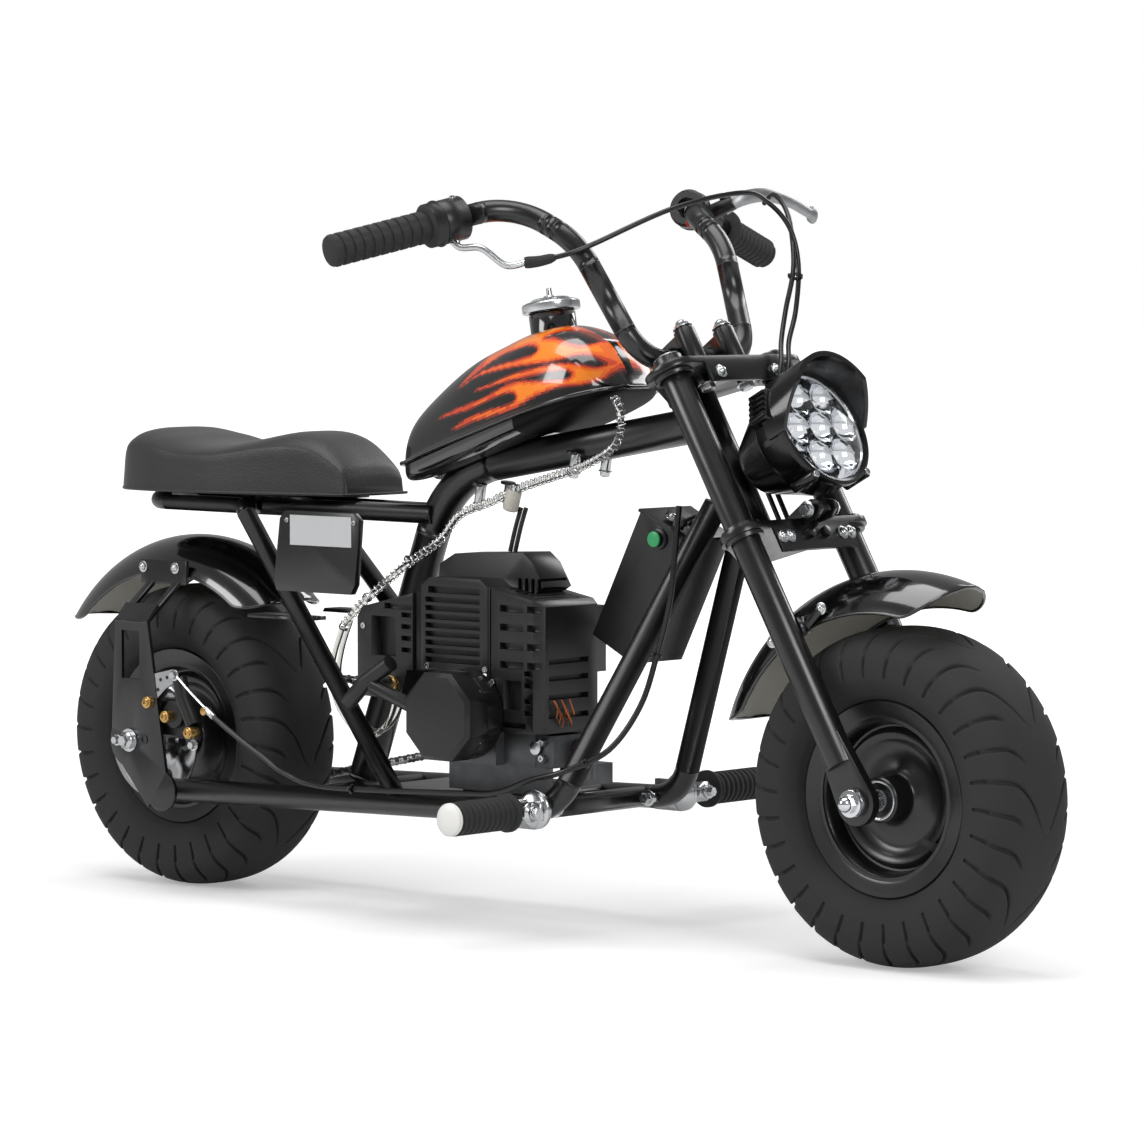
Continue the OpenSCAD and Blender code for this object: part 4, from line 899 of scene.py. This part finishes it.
THROTTLE_ROUTE = ((-48, -160, 623), (-23, -140, 615), (-1, -115, 615), (49, -35, 628), (76, 45, 631), (73, 84, 622),
                  (69, 106, 595), (59, 108, 558), (45, 92, 514), (37, 70, 482), (37, 54, 456), (28, 42, 436),
                  (4, 30, 424), (-12, 24, 398), (-14, 20, 350), (-14, 18, 293.2))
LEVER_ROUTE = ((20, 152, 653), (43, 143, 649), (62, 122, 612), (61, 97, 556), (45, 76, 514), (37, 58, 482),
               (37, 42, 456), (28, 30, 434), (4, 18, 421), (-12, 10, 396), (-14, 6, 350), (-14, 4, 293.2))
BRAKE_ROUTE = ((735, -56, 440), (732, -58, 400), (728, -62, 345), (712, -63, 291), (698, -72, 240), (672, -90, 196),
               (634, -114, 174), (594, -120, 163), (545, -118, 147), (480, -115, 142), (300, -113, 135),
               (160, -113, 142), (100, -104, 160))
HOSE_ROUTE = ((604, -20, 531), (585, -27, 512), (540, -29, 495), (470, -30, 480), (400, -32, 458), (352, -40, 400),
              (326, -52, 345), (322, -56, 331))


def zip_tie(at, along, radius):
    """A nylon tie round a cable, with its head."""
    return join([lathe([(radius, -1.6), (radius + 1.2, -1.6), (radius + 1.2, 1.6), (radius, 1.6)], at, along, 24),
                 moved(box_between((-2.2, -2.2, -2.2), (2.2, 2.2, 2.2), 0.5), np.asarray(at) + [0, -radius - 2, 1])])


class MINIBIKE_OT_handlebar_fittings(bpy.types.Operator):
    """Grips, throttle cable elbow, stop switch, lever and the cables on the steering"""
    bl_idname = "minibike.handlebar_fittings"
    bl_label = "Handlebar fittings"

    def execute(self, context):
        piece("moulded_grips", [(grip_shape(-1), "grip_rubber"), (grip_shape(1), "grip_rubber")], "fork",
              ["grips"], 50)
        # throttle housing on the right with its bent steel elbow and rubber boot
        elbow = steered(smooth_route([on_bar(-1, 126, (-2, 4, -16)), on_bar(-1, 128, (2, 6, -30)), on_bar(-1, 136, (14, 10, -40)),
                                      (-62, -176, 627), (-50, -162, 623)], 7))
        boot = steered(smooth_route([(-50, -162, 623), (-40, -152, 619), (-27, -143, 616)], 5))
        parts = [(tube(elbow, 3.4, 12), "zinc_plate"),
                 (tube(boot, np.interp(np.linspace(0, 1, len(boot)), [0, 0.15, 0.8, 1], [5.4, 6.2, 5.0, 3.2]), 14), "grip_rubber"),
                 (ring_on_bar(-1, 118, 122, 23.5), "moulded_abs"), (ring_on_bar(-1, 139, 143, 21), "moulded_abs")]
        for off in ((12, 0, 16), (-4, 2, -21)):
            parts.append((socket_screw(steered([on_bar(-1, 136, off)])[0], (0.2, -0.3, 0.9 if off[2] > 0 else -0.9), 3.2, 4), "zinc_plate"))
        piece("throttle_fittings", parts, "fork")
        # stop switch and lever perch on the left
        end, out = bar_axis(1)
        parts = [(ring_on_bar(1, 186, 206, 20, 2.5), "moulded_abs"), (ring_on_bar(1, 189, 191, 20.6, 0.5), "cable_vinyl"),
                 (ring_on_bar(1, 142, 172, 15.5, 2), "moulded_abs")]
        red = steered([on_bar(1, 196, (6, -14, -16))])[0]
        parts.append((drum(red, (0.3, -0.5, -0.6), 5, 0, 7, 1.2, 20), "red_switch"))
        perch = steered(smooth_route([on_bar(1, 158, (10, 0, 0)), on_bar(1, 158, (24, 1, -2)), on_bar(1, 158, (38, 6, -3))], 4))
        parts.append((tube(perch, np.linspace(9, 7.5, len(perch)), 14), "moulded_abs"))
        parts.append((lever_blade(), "die_cast"))
        parts.append((hex_head(steered([on_bar(1, 158, (32, 4, 6))])[0], (-0.5, 0, 0.87), 8, 4), "zinc_plate"))
        piece("lever_and_switch", parts, "fork", ["brake_lever"])
        # cables held by ties
        first, second = steered(smooth_route(THROTTLE_ROUTE, 8)), steered(smooth_route(LEVER_ROUTE, 8))
        ties = [(zip_tie((first[58] + second[26]) / 2, first[59] - first[58], 6.2), "cable_vinyl")]
        piece("steering_cables", [(tube(first, 2.6, 12), "cable_vinyl"), (tube(second, 2.6, 12), "cable_vinyl")] + ties,
              "fork", ["bar_cables"], 60)
        return {"FINISHED"}


class MINIBIKE_OT_fork_fasteners(bpy.types.Operator):
    """Bolts, washers and nuts on the clamps, risers and front axle"""
    bl_idname = "minibike.fork_fasteners"
    bl_label = "Fork fasteners"

    def execute(self, context):
        up = steered([(0, 0, 1)])[0] - steered([(0, 0, 0)])[0]
        ahead = steered([(1, 0, 0)])[0] - steered([(0, 0, 0)])[0]
        parts = []
        for side in (-1, 1):
            # riser bolts
            at = steered([(-3, side * 30, 521)])[0]
            parts.append((dome_nut(at, up, 13, 9), "zinc_plate"))
            parts.append((hex_head(steered([(-3, side * 30, 458)])[0], -up, 13, 6), "zinc_plate"))
            # pinch bolts through the folded edges of both clamps
            for z in (455.0, 274.0):
                x = 28.2 if z > 400 else 24.2
                for y in (side * 48, side * 62) if z < 400 else (side * 50,):
                    parts.append((dome_nut(steered([(x, y * 0.85, z)])[0], ahead, 9, 6), "zinc_plate"))
            # leg top caps
            parts.append((lathe([(0, 0), (13.5, 0), (14.5, 1.2), (13, 3), (0, 3.6)], steered([(0, side * 78, 484)])[0], up, 32,
                                wrap=False), "zinc_plate"))
            # front axle
            parts.append((dome_nut((WHEELBASE, side * 91.4, TYRE_R), (0, side, 0), 17, 15), "chrome"))
            parts.append((lathe([(6.2, 0), (13, 0), (13, 1.6), (6.2, 1.6)], (WHEELBASE, side * 84.2, TYRE_R), (0, side, 0), 36),
                          "zinc_plate"))
        parts.append((hex_head(steered([(-FORK_OFFSET, 0, 487)])[0], up, 24, 8), "zinc_plate"))
        piece("fork_fasteners", parts, "fork")
        return {"FINISHED"}


LAMP_AT = np.array([83.0, 0, 362.0])
LAMP_R = 60.5


class MINIBIKE_OT_headlight(bpy.types.Operator):
    """Headlight: chromed reflector with its cups, domed lens, bezel and screws"""
    bl_idname = "minibike.headlight"
    bl_label = "Headlight"

    def execute(self, context):
        lamp = steered([LAMP_AT])[0]
        tilt = math.radians(28)
        axis = np.array([math.cos(tilt), 0, math.sin(tilt)])
        up = np.array([-math.sin(tilt), 0, math.cos(tilt)])
        side = np.array([0, 1.0, 0])
        dome = [(r, math.sqrt(100 ** 2 - r * r) - 84) for r in np.linspace(56.2, 0, 22)]
        back = [(r, y - 2.2) for r, y in dome[::-1]]
        lens = lathe([(56.2, -2)] + dome + back + [(56.2, -4)], lamp, axis, 96, wrap=True)
        piece("lamp_lens", [(lens, "polycarbonate")], "fork", ["headlight_lens"], 30)
        parts = [(lathe([(0, -14), (56.6, -14), (56.6, -3), (54.5, -4.5), (53, -13), (0, -13)], lamp, axis, 96, wrap=False), "chrome")]
        count = context.scene.minibike_sizes.lamp_cups
        cups = [(0.0, 0.0, 17.0)] + [(34.5 * math.cos(2 * math.pi * k / count), 34.5 * math.sin(2 * math.pi * k / count), 17.2)
                                     for k in range(count)]
        for a, b, r in cups:
            at = lamp + side * a + up * b
            bowl = [(r, -1.5), (r * 0.97, -2.5), (r * 0.8, -7), (r * 0.55, -10.5), (r * 0.28, -12.6), (0, -12.8)]
            parts.append((lathe(bowl, at, axis, 10, wrap=False), "chrome"))
            parts.append((drum(at, axis, 3.4, -12.8, -9.5, 1.2, 16), "white_nylon"))
        # bezel with its screws
        parts.append((lathe([(56.4, -3), (57.2, 0.6), (60, 1.8), (62.6, 0.4), (63.2, -3), (62.9, -6)], lamp, axis, 96, wrap=False), "gloss_plastic"))
        piece("lamp_reflector", parts, "fork", crease=25)
        screws = []
        for b in (-38, 38, 142, 218):
            c, s = math.cos(math.radians(b)), math.sin(math.radians(b))
            # the lower lugs hold the bezel's screws
            at = lamp - up * c * 64.4 + side * s * 64.4 + axis * -0.8
            if b in (-38, 38):
                screws.append((socket_screw(at, axis, 3.6, 3), "zinc_plate"))
        for s in (-1, 1):
            at = steered([(40, s * 19, 294)])[0]
            screws.append((hex_head(at, (0, s, 0), 11, 6), "zinc_plate"))
        piece("lamp_screws", screws, "fork")
        return {"FINISHED"}


# Frame and running gear

class MINIBIKE_OT_frame_fittings(bpy.types.Operator):
    """Bolts on the frame, weld beads, the axle's washers, the blank label and the pegs' caps"""
    bl_idname = "minibike.frame_fittings"
    bl_label = "Frame fittings"

    def execute(self, context):
        parts = []
        for side in (-1, 1):
            y = side * 111.2
            parts.append((lathe([(6.2, 0), (12.5, 0), (12.5, 1.6), (6.2, 1.6)], (0, y, TYRE_R), (0, side, 0), 36), "zinc_plate"))
            parts.append((hex_head((0, side * 118.6, TYRE_R), (0, side, 0), 11, 5, False), "zinc_plate"))
            parts.append((hex_head((-19, y, TYRE_R - 1), (0, side, 0), 8, 5), "zinc_plate"))
            parts.append((lathe([(3.2, 0), (5.2, 0), (5.2, 0.6), (3.2, 0.6)], (23, y, TYRE_R + 2), (0, side, 0), 20), "powder_coat"))
            # bolts through the lower rail at the peg mounts
            parts.append((hex_head((584, side * 72, 129), (0, -side, 0), 11, 7), "zinc_plate"))
            parts.append((hex_head((614, side * 134, 133), (1, 0, 0), 9, 5), "zinc_plate"))
        piece("frame_bolts", parts, "frame")
        beads = []
        for centre, axis, radius in (((247.5, 0, 137), (-0.35, 0, -0.93), 19.5), ((718, 0, 519), (0.99, 0, 0.16), 19),
                                     ((-2, 0, 0), (0, 1, 0), 0)):
            if radius:
                beads.append((lathe([(radius - 2, -1.5), (radius + 0.6, -1), (radius + 1.2, 0.4), (radius - 2, 2.5)], centre, axis, 48), "powder_coat"))
        piece("weld_beads", beads, "frame", crease=70)
        label = box_between((226, -91.0, 384), (316, -90.15, 416), 0.35)
        screws = [socket_screw((x, -90.2, 410), (0, -1, 0), 2.6, 2) for x in (222, 320)]
        piece("blank_label", [(label, "label_foil")] + [(s, "zinc_plate") for s in screws], "frame")
        for side, name in ((-1, "right"), (1, "left")):
            cap = lathe([(0, -1), (15.8, -1), (16.6, 0), (16.4, 2.6), (14, 4.4), (8, 5.6), (0, 6)],
                        (594, side * (134 + 18 + 84), 133), (0, side, 0), 48, wrap=False)
            piece("peg_cap_" + name, [(cap, "white_nylon")], "peg_" + name, crease=60)
        return {"FINISHED"}


class MINIBIKE_OT_brake(bpy.types.Operator):
    """Disc brake calliper with its arm, spring rod, brass bolts and cable"""
    bl_idname = "minibike.brake"
    bl_label = "Rear brake"

    def execute(self, context):
        y = -101.0
        parts = [
            (box_between((34, -100, 170), (82, -78, 212), 3), "moulded_abs"),
            (drum((62, y + 1, 196), (0, -1, 0), 15, 0, 6, 1.5), "moulded_abs"),
            (drum((90, y + 3, 176), (0, -1, 0), 11, 0, 8, 1.5), "moulded_abs"),
            (tube([(70, y - 2, 236), (76, y - 2, 214), (92, y - 2, 186)], (8, 9, 9), 12), "moulded_abs")]
        arm = np.array([(16, 226), (24, 236), (66, 245), (74, 242), (72, 232), (56, 224), (44, 214), (30, 204), (22, 206)])
        n = len(arm)
        pts = [(x, y - 6, z) for x, z in arm] + [(x, y - 9, z) for x, z in arm]
        plate = (np.array(pts), [tuple(range(n)), tuple(range(2 * n - 1, n - 1, -1))]
                 + [(i, i + n, (i + 1) % n + n, (i + 1) % n) for i in range(n)])
        parts.append((plate, "ground_steel"))
        for x, z in ((25, 226), (36, 231), (48, 233), (44, 222), (58, 236)):
            parts.append((drum((x, y - 8.8, z), (0, -1, 0), 2.1, 0, 0.5, 0.1, 16), "cable_vinyl"))
        for x, z, r, h in ((32, 208, 6.5, 14), (58, 194, 6.5, 12), (96, 179, 6.5, 14)):
            parts.append((drum((x, y - 2, z), (0, -1, 0), r, 0, h, 1, 24), "brass"))
            parts.append((socket_screw((x, y - 2 - h, z), (0, -1, 0), 4.5, 2), "brass"))
        parts.append((hex_head((70, y - 9, 239), (0, -1, 0), 8, 4), "zinc_plate"))
        parts.append((hex_head((94, y - 4, 165), (0, -1, 0), 8, 5), "zinc_plate"))
        parts.append((tube([(70, y - 10, 241), (95, y - 10, 222), (119, y - 8, 204)], 1.2, 8), "zinc_plate"))
        parts.append((drum((116, y - 2, 203), (0, -1, 0), 4.5, 0, 10, 0.8, 20), "brass"))
        parts.append((drum((116, y - 8, 206), (0.8, 0, -0.55), 3.6, 0, 16, 0.8, 16), "zinc_plate"))
        piece("calliper_parts", parts, "frame", ["brake_caliper"])
        route = smooth_route(BRAKE_ROUTE[:-2] + ((236, -112, 146), (204, -110, 160), (167, -109, 177), (128, -109, 198)), 8)
        ties = [(zip_tie(route[k], route[k + 1] - route[k], 4), "cable_vinyl") for k in (24, 44, 78)]
        piece("brake_cable", [(tube(route, 3, 12), "cable_vinyl")] + ties, "frame", ["frame_cables"], 60)
        return {"FINISHED"}


class MINIBIKE_OT_chain(bpy.types.Operator):
    """Chain pins on both runs and the sprocket's bolts"""
    bl_idname = "minibike.chain"
    bl_label = "Chain"

    def execute(self, context):
        pitch, big, small = 12.7, 12.7 * 33 / (2 * math.pi), 12.7 * 9 / (2 * math.pi)
        a, b = np.array([0, TYRE_R]), np.array([434.0, 205.0])
        lean = math.atan2(b[1] - a[1], b[0] - a[0])
        turn = math.acos((big - small) / np.linalg.norm(b - a))
        pins = []
        for s in (-1, 1):
            n = np.array([math.cos(lean + s * turn), math.sin(lean + s * turn)])
            p, q = a + big * n, b + small * n
            count = round(np.linalg.norm(q - p) / pitch)
            pins += [p + (q - p) * k / count for k in range(1, count)]
        for k in range(18):
            ang = lean + turn + (2 * math.pi - 2 * turn) * k / 17
            pins.append(a + big * np.array([math.cos(ang), math.sin(ang)]))
        parts = [(drum((x, 61.5, z), (0, 1, 0), 2.0, 0, 11, 0.4, 10), "zinc_plate") for x, z in pins]
        piece("chain_pins", parts, "frame")
        bolts = []
        for k in range(4):
            ang = math.pi / 2 * k + math.pi / 4
            bolts.append((hex_head((19 * math.cos(ang), 70, TYRE_R + 19 * math.sin(ang)), (0, 1, 0), 7, 4), "zinc_plate"))
            bolts.append((hex_head((19 * math.cos(ang), -75.6, TYRE_R + 19 * math.sin(ang)), (0, -1, 0), 7, 4), "zinc_plate"))
        piece("hub_bolts", bolts, "rear_wheel")
        return {"FINISHED"}


class MINIBIKE_OT_fuel_line(bpy.types.Operator):
    """Clear fuel hoses with the spring wound round them, taps and the filter"""
    bl_idname = "minibike.fuel_line"
    bl_label = "Fuel line"

    def execute(self, context):
        sizes = context.scene.minibike_sizes
        upper = smooth_route(((636, -40, 545), (645, -42, 534), (648, -44, 520), (645, -44, 505), (630, -44, 490), (593, -44, 474),
                              (550, -42, 462), (506, -40, 450), (462, -38, 434), (421, -38, 420), (395, -40, 393), (362, -44, 373),
                              (323, -48, 346), (292, -51, 323), (267, -53, 299)), 6)
        lower = smooth_route(((267, -53, 299), (256, -55, 268), (253, -56, 238), (268, -56, 206), (295, -56, 187), (316, -57, 186),
                              (338, -60, 200), (352, -64, 220), (360, -70, 240)), 6)
        second = lower * [1, 1, 1] + np.array([4, 7, 5])
        parts = [(tube(upper, 3.2, 12), "clear_hose"), (tube(lower, 3.0, 12), "clear_hose"), (tube(second, 3.0, 12), "clear_hose"),
                 (helix(upper, 4.6, sizes.spring_wire * 1000, sizes.spring_pitch * 1000), "zinc_plate")]
        parts.append((drum((500, -40, 448), (-0.3, 0, -1), 8, 0, 22, 2, 28), "primer_grey"))
        parts.append((drum((500, -40, 448), (0.3, 0, 1), 4, -2, 6, 0.6, 16), "zinc_plate"))
        for x, z in ((265, 297), (300, 330), (360, 372)):
            parts.append((drum((x, -50, z), (-0.5, 0, -0.8), 5.4, -2, 2, 0.5, 20), "zinc_plate"))
        piece("fuel_hoses", parts, "frame", ["fuel_hose"], 60)
        leads = []
        for dx in (0, 7):
            leads.append((tube(smooth_route(((500 + dx, -30, 430), (496 + dx, -34, 410), (492 + dx, -38, 385)), 6), 2.4, 10), "cable_vinyl"))
        piece("plug_lead", leads, "frame", crease=60)
        return {"FINISHED"}


class MINIBIKE_OT_engine_details(bpy.types.Operator):
    """Screws, brass jet, wires and the muffler's straps on the engine"""
    bl_idname = "minibike.engine_details"
    bl_label = "Engine details"

    def execute(self, context):
        parts = []
        for x, y, z in ((522, -97.2, 256), (522, -97.2, 219), (431, -97.2, 268), (340, -97.2, 305), (512, -97.2, 268)):
            parts.append((socket_screw((x, y, z), (0, -1, 0), 3.2, 1.6), "zinc_plate"))
        for ang in (35, 145, 215, 325):
            parts.append((socket_screw((490 + 42 * math.cos(math.radians(ang)), -119, 222 + 42 * math.sin(math.radians(ang))),
                                       (0, -1, 0), 3.2, 2), "zinc_plate"))
        # brass jet and its ring beside the carburettor
        parts.append((drum((384, -90, 246), (0, -1, 0), 7, 0, 12, 1, 24), "brass"))
        parts.append((lathe([(8, 0), (10, 0), (10, 2), (8, 2)], (384, -102, 246), (0, -1, 0), 28), "brass"))
        # copper wires in the window of the exhaust's cover
        for k in range(7):
            at = np.array([588.0, -78 + 4 * k, 240 - (k % 3) * 5])
            parts.append((tube(smooth_route([at, at + [3, 3, -8 - k], at + [-1, 5, -18]], 4), 0.9, 6), "copper_wire"))
        # muffler straps and its screws
        for z in (180, 196):
            parts.append((socket_screw((571, -77, z), (0, -1, 0), 3.5, 2.5), "zinc_plate"))
        parts.append((drum((560, -73, 190), (0, -1, 0), 7.5, 0, 3, 1, 24), "zinc_plate"))
        piece("engine_small_parts", parts, "frame")
        fan = []
        for k in range(14):
            ang = 2 * math.pi * k / 14
            fan.append((turned(box_between((14, -88.6, -1), (37, -87.2, 1), 0.2), (0, 0, 0), (0, 1, 0), math.degrees(ang))[0]
                        + [466, 0, 308], box_between((0, 0, 0), (1, 1, 1), 0.1)[1]))
        return {"FINISHED"}


class MINIBIKE_OT_control_box(bpy.types.Operator):
    """Start button, plugs and hanger bolt on the electrical box"""
    bl_idname = "minibike.control_box"
    bl_label = "Control box"

    def execute(self, context):
        lo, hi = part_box("control_box")
        low = (np.array(lo) - bike([(0, 0, 0)])[0]) * 1000
        high = (np.array(hi) - bike([(0, 0, 0)])[0]) * 1000
        centre = np.array([664.0, 0, 356])
        lean = math.radians(27)
        up = np.array([math.sin(lean), 0, math.cos(lean)])
        ahead = np.array([math.cos(lean), 0, -math.sin(lean)])
        face = centre + [0, low[1], 0]
        parts = [(drum(centre + ahead * 4 + up * 57 + [0, -38.2, 0], (0, -1, 0), 10.5, 0, 3.5, 1, 40), "cable_vinyl"),
                 (drum(centre + ahead * 4 + up * 57 + [0, low[1] + 0.6, 0], (0, -1, 0), 8, 0, 2.6, 1.2, 40), "green_button"),
                 (dome_nut(centre + ahead * 24 - up * 50 + [0, -38.4, 0], (0, -1, 0), 8, 5), "zinc_plate")]
        top = centre + up * 72
        parts.append((dome_nut(top + ahead * -4 + up * 3 + [0, -20, 0], up, 9, 6), "zinc_plate"))
        for y in (-24, -10, 4):
            parts.append((drum(top + ahead * 14 + up * 2 + [0, y, 0], up, 5, 0, 9, 1.2, 20), "cable_vinyl"))
            wire = smooth_route([top + ahead * 14 + up * 10 + [0, y, 0], top + ahead * 22 + up * 20 + [0, y * 0.6, 0],
                                 top + ahead * 40 + up * 26 + [0, y * 0.3, 0]], 5)
            parts.append((tube(wire, 2, 8), "cable_vinyl"))
        piece("control_box_fittings", parts, "frame")
        return {"FINISHED"}


FINISHES = {  # CAD nodes that stay, with the finish of each
    "powder_coat": ("backbone", "cradle_right", "cradle_left", "cross_members", "seat_rails", "seat_stays",
                    "dropout_right", "dropout_left", "rear_fender_bracket", "side_panel", "headlight_bracket",
                    "front_fender_bracket", "lower_clamp", "upper_clamp", "bar_risers", "fork_legs", "handlebar"),
    "moulded_abs": ("engine_shroud", "air_box", "pull_starter", "control_box", "throttle"),
    "gloss_plastic": ("headlight",),
    "dark_cast": ("engine_block", "exhaust"),
    "zinc_plate": ("rear_axle", "front_axle", "peg_mounts"),
    "ground_steel": ("brake_disc", "rear_sprocket", "chain"),
    "grip_rubber": ("footpeg_right", "footpeg_left"),
}
EASED = {  # CAD nodes whose edges catch the light, and the radius of the edge in millimetres
    "engine_shroud": 1.0, "air_box": 1.2, "pull_starter": 1.8, "control_box": 1.2, "upper_clamp": 0.8,
    "lower_clamp": 0.8, "bar_risers": 1.0, "dropout_right": 0.6, "dropout_left": 0.6, "side_panel": 0.5,
    "headlight": 0.7, "engine_block": 0.8, "exhaust": 1.5, "headlight_bracket": 0.6, "fork_legs": 0.8}


class MINIBIKE_OT_finishes(bpy.types.Operator):
    """Gives each CAD part that stays its finish, and eases its edges"""
    bl_idname = "minibike.finishes"
    bl_label = "Finishes"

    def execute(self, context):
        for finish_name, nodes in FINISHES.items():
            for name in nodes:
                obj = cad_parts[name]
                for slot in range(max(1, len(obj.material_slots))):
                    if not obj.material_slots:
                        obj.data.materials.append(None)
                    obj.material_slots[slot].material = material(finish_name)
                weld = obj.modifiers.new("weld", "WELD")
                weld.merge_threshold = 0.00002
                if name in EASED:
                    ease = obj.modifiers.new("eased_edges", "BEVEL")
                    ease.width = EASED[name] / 1000
                    ease.segments = 2
                    ease.limit_method = "ANGLE"
                    ease.angle_limit = math.radians(42)
                    ease.harden_normals = False
                obj.data.shade_smooth()
                obj.data.set_sharp_from_angle(angle=math.radians(35))
        return {"FINISHED"}


# Stage

class MINIBIKE_OT_stage(bpy.types.Operator):
    """Pale floor, soft studio lamps and the camera of the photograph"""
    bl_idname = "minibike.stage"
    bl_label = "Stage"

    def execute(self, context):
        scene = context.scene
        scene.view_settings.view_transform = "Standard"
        mesh = bpy.data.meshes.new("floor")
        r = 30.0
        mesh.from_pydata([(-r, -r, GROUND), (r, -r, GROUND), (r, r, GROUND), (-r, r, GROUND)], [], [(0, 1, 2, 3)])
        floor = bpy.data.objects.new("floor", mesh)
        scene.collection.objects.link(floor)
        mat = bare_material("floor_paint")
        rays = add(mat, "ShaderNodeLightPath")
        tex = add(mat, "ShaderNodeTexCoord").outputs["Object"]
        speck = add(mat, "ShaderNodeMapRange", {"Value": noise(mat, tex, 400).outputs["Fac"], "To Min": 0.7, "To Max": 0.74})
        bsdf = add(mat, "ShaderNodeBsdfPrincipled", {"Base Color": speck.outputs["Result"], "Roughness": 0.7,
                                                     "Specular IOR Level": 0.2})
        mirrored_part = add(mat, "ShaderNodeMath", {0: rays.outputs["Is Glossy Ray"], 1: 0.30}, operation="MULTIPLY")
        seen = add(mat, "ShaderNodeMath", {0: rays.outputs["Is Camera Ray"], 1: mirrored_part.outputs[0]}, operation="MAXIMUM")
        # the floor goes to white away from the bike, where its edge would show
        far = add(mat, "ShaderNodeVectorMath", {0: tex}, operation="LENGTH")
        fade = add(mat, "ShaderNodeMapRange", {"Value": far.outputs["Value"], "From Min": 0.9, "From Max": 3.2,
                                               "To Min": 0.33, "To Max": 1.0})
        glow = add(mat, "ShaderNodeMath", {0: seen.outputs[0], 1: fade.outputs["Result"]}, operation="MULTIPLY")
        light = add(mat, "ShaderNodeEmission", {"Color": (1, 1, 1, 1), "Strength": glow.outputs[0]})
        both = add(mat, "ShaderNodeAddShader", {0: bsdf.outputs["BSDF"], 1: light.outputs["Emission"]})
        add(mat, "ShaderNodeOutputMaterial", {"Surface": both.outputs["Shader"]})
        mesh.materials.append(mat)

        world = bpy.data.worlds.new("studio")
        scene.world = world
        world.use_nodes = True
        world.node_tree.nodes.clear()
        rays = add(world, "ShaderNodeLightPath")
        clear = add(world, "ShaderNodeMath", {0: rays.outputs["Is Camera Ray"], 1: rays.outputs["Is Transmission Ray"]},
                    operation="MAXIMUM")
        level = add(world, "ShaderNodeMapRange", {"Value": clear.outputs[0], "To Min": 0.30, "To Max": 1.0})
        sky = add(world, "ShaderNodeBackground", {"Color": (1, 1, 1, 1), "Strength": level.outputs["Result"]})
        add(world, "ShaderNodeOutputWorld", {"Surface": sky.outputs["Background"]})

        middle = Vector((0.4, 0, -0.15))
        for name, at, size, power in (("top_softbox", (0.3, -0.4, 2.6), 2.4, 62), ("side_softbox", (-1.2, -3.0, 1.6), 1.5, 50),
                                      ("front_softbox", (3.2, -1.2, 1.2), 1.2, 34), ("back_softbox", (0.4, 3.0, 1.8), 1.6, 34)):
            lamp = bpy.data.lights.new(name, "AREA")
            lamp.size = size
            lamp.energy = power
            obj = bpy.data.objects.new(name, lamp)
            obj.location = at
            obj.rotation_mode = "QUATERNION"
            obj.rotation_quaternion = (middle - Vector(at)).to_track_quat("-Z", "Y")
            scene.collection.objects.link(obj)

        camera = bpy.data.cameras.new("camera")
        camera.sensor_width = 36.0
        camera.lens = 154.54
        obj = bpy.data.objects.new("camera", camera)
        obj.location = bike([(3885.3, -3736.2, 670.7)])[0].tolist()
        yaw, pitch = math.radians(41.816), math.radians(3.499)
        look = Vector((-math.sin(yaw) * math.cos(pitch), math.cos(yaw) * math.cos(pitch), -math.sin(pitch)))
        obj.rotation_mode = "QUATERNION"
        obj.rotation_quaternion = look.to_track_quat("-Z", "Y")
        scene.collection.objects.link(obj)
        scene.camera = obj
        return {"FINISHED"}


class MINIBIKE_PT_panel(bpy.types.Panel):
    """Lists the minibike's pieces"""
    bl_idname = "MINIBIKE_PT_panel"
    bl_label = "Minibike"
    bl_space_type = "VIEW_3D"
    bl_region_type = "UI"
    bl_category = "Minibike"

    def draw(self, context):
        column = self.layout.column()
        for group in (context.scene.minibike_sizes, context.scene.minibike_colours):
            for name in group.__annotations__:
                column.prop(group, name)
        for operator in OPERATORS:
            column.operator(operator.bl_idname)


OPERATORS = (MINIBIKE_OT_stage, MINIBIKE_OT_finishes, MINIBIKE_OT_wheels, MINIBIKE_OT_tank, MINIBIKE_OT_seat,
             MINIBIKE_OT_fenders, MINIBIKE_OT_handlebar_fittings, MINIBIKE_OT_fork_fasteners, MINIBIKE_OT_headlight,
             MINIBIKE_OT_frame_fittings, MINIBIKE_OT_brake, MINIBIKE_OT_chain, MINIBIKE_OT_fuel_line,
             MINIBIKE_OT_engine_details, MINIBIKE_OT_control_box)
CLASSES = (MinibikeSizes, MinibikeColours) + OPERATORS + (MINIBIKE_PT_panel,)


def register():
    for cls in CLASSES:
        bpy.utils.register_class(cls)
    bpy.types.Scene.minibike_sizes = PointerProperty(type=MinibikeSizes)
    bpy.types.Scene.minibike_colours = PointerProperty(type=MinibikeColours)


def unregister():
    del bpy.types.Scene.minibike_colours
    del bpy.types.Scene.minibike_sizes
    for cls in reversed(CLASSES):
        bpy.utils.unregister_class(cls)


def main():
    register()
    for operator in OPERATORS:
        group, name = operator.bl_idname.split(".")
        getattr(getattr(bpy.ops, group), name)()


if __name__ == "__main__":
    main()
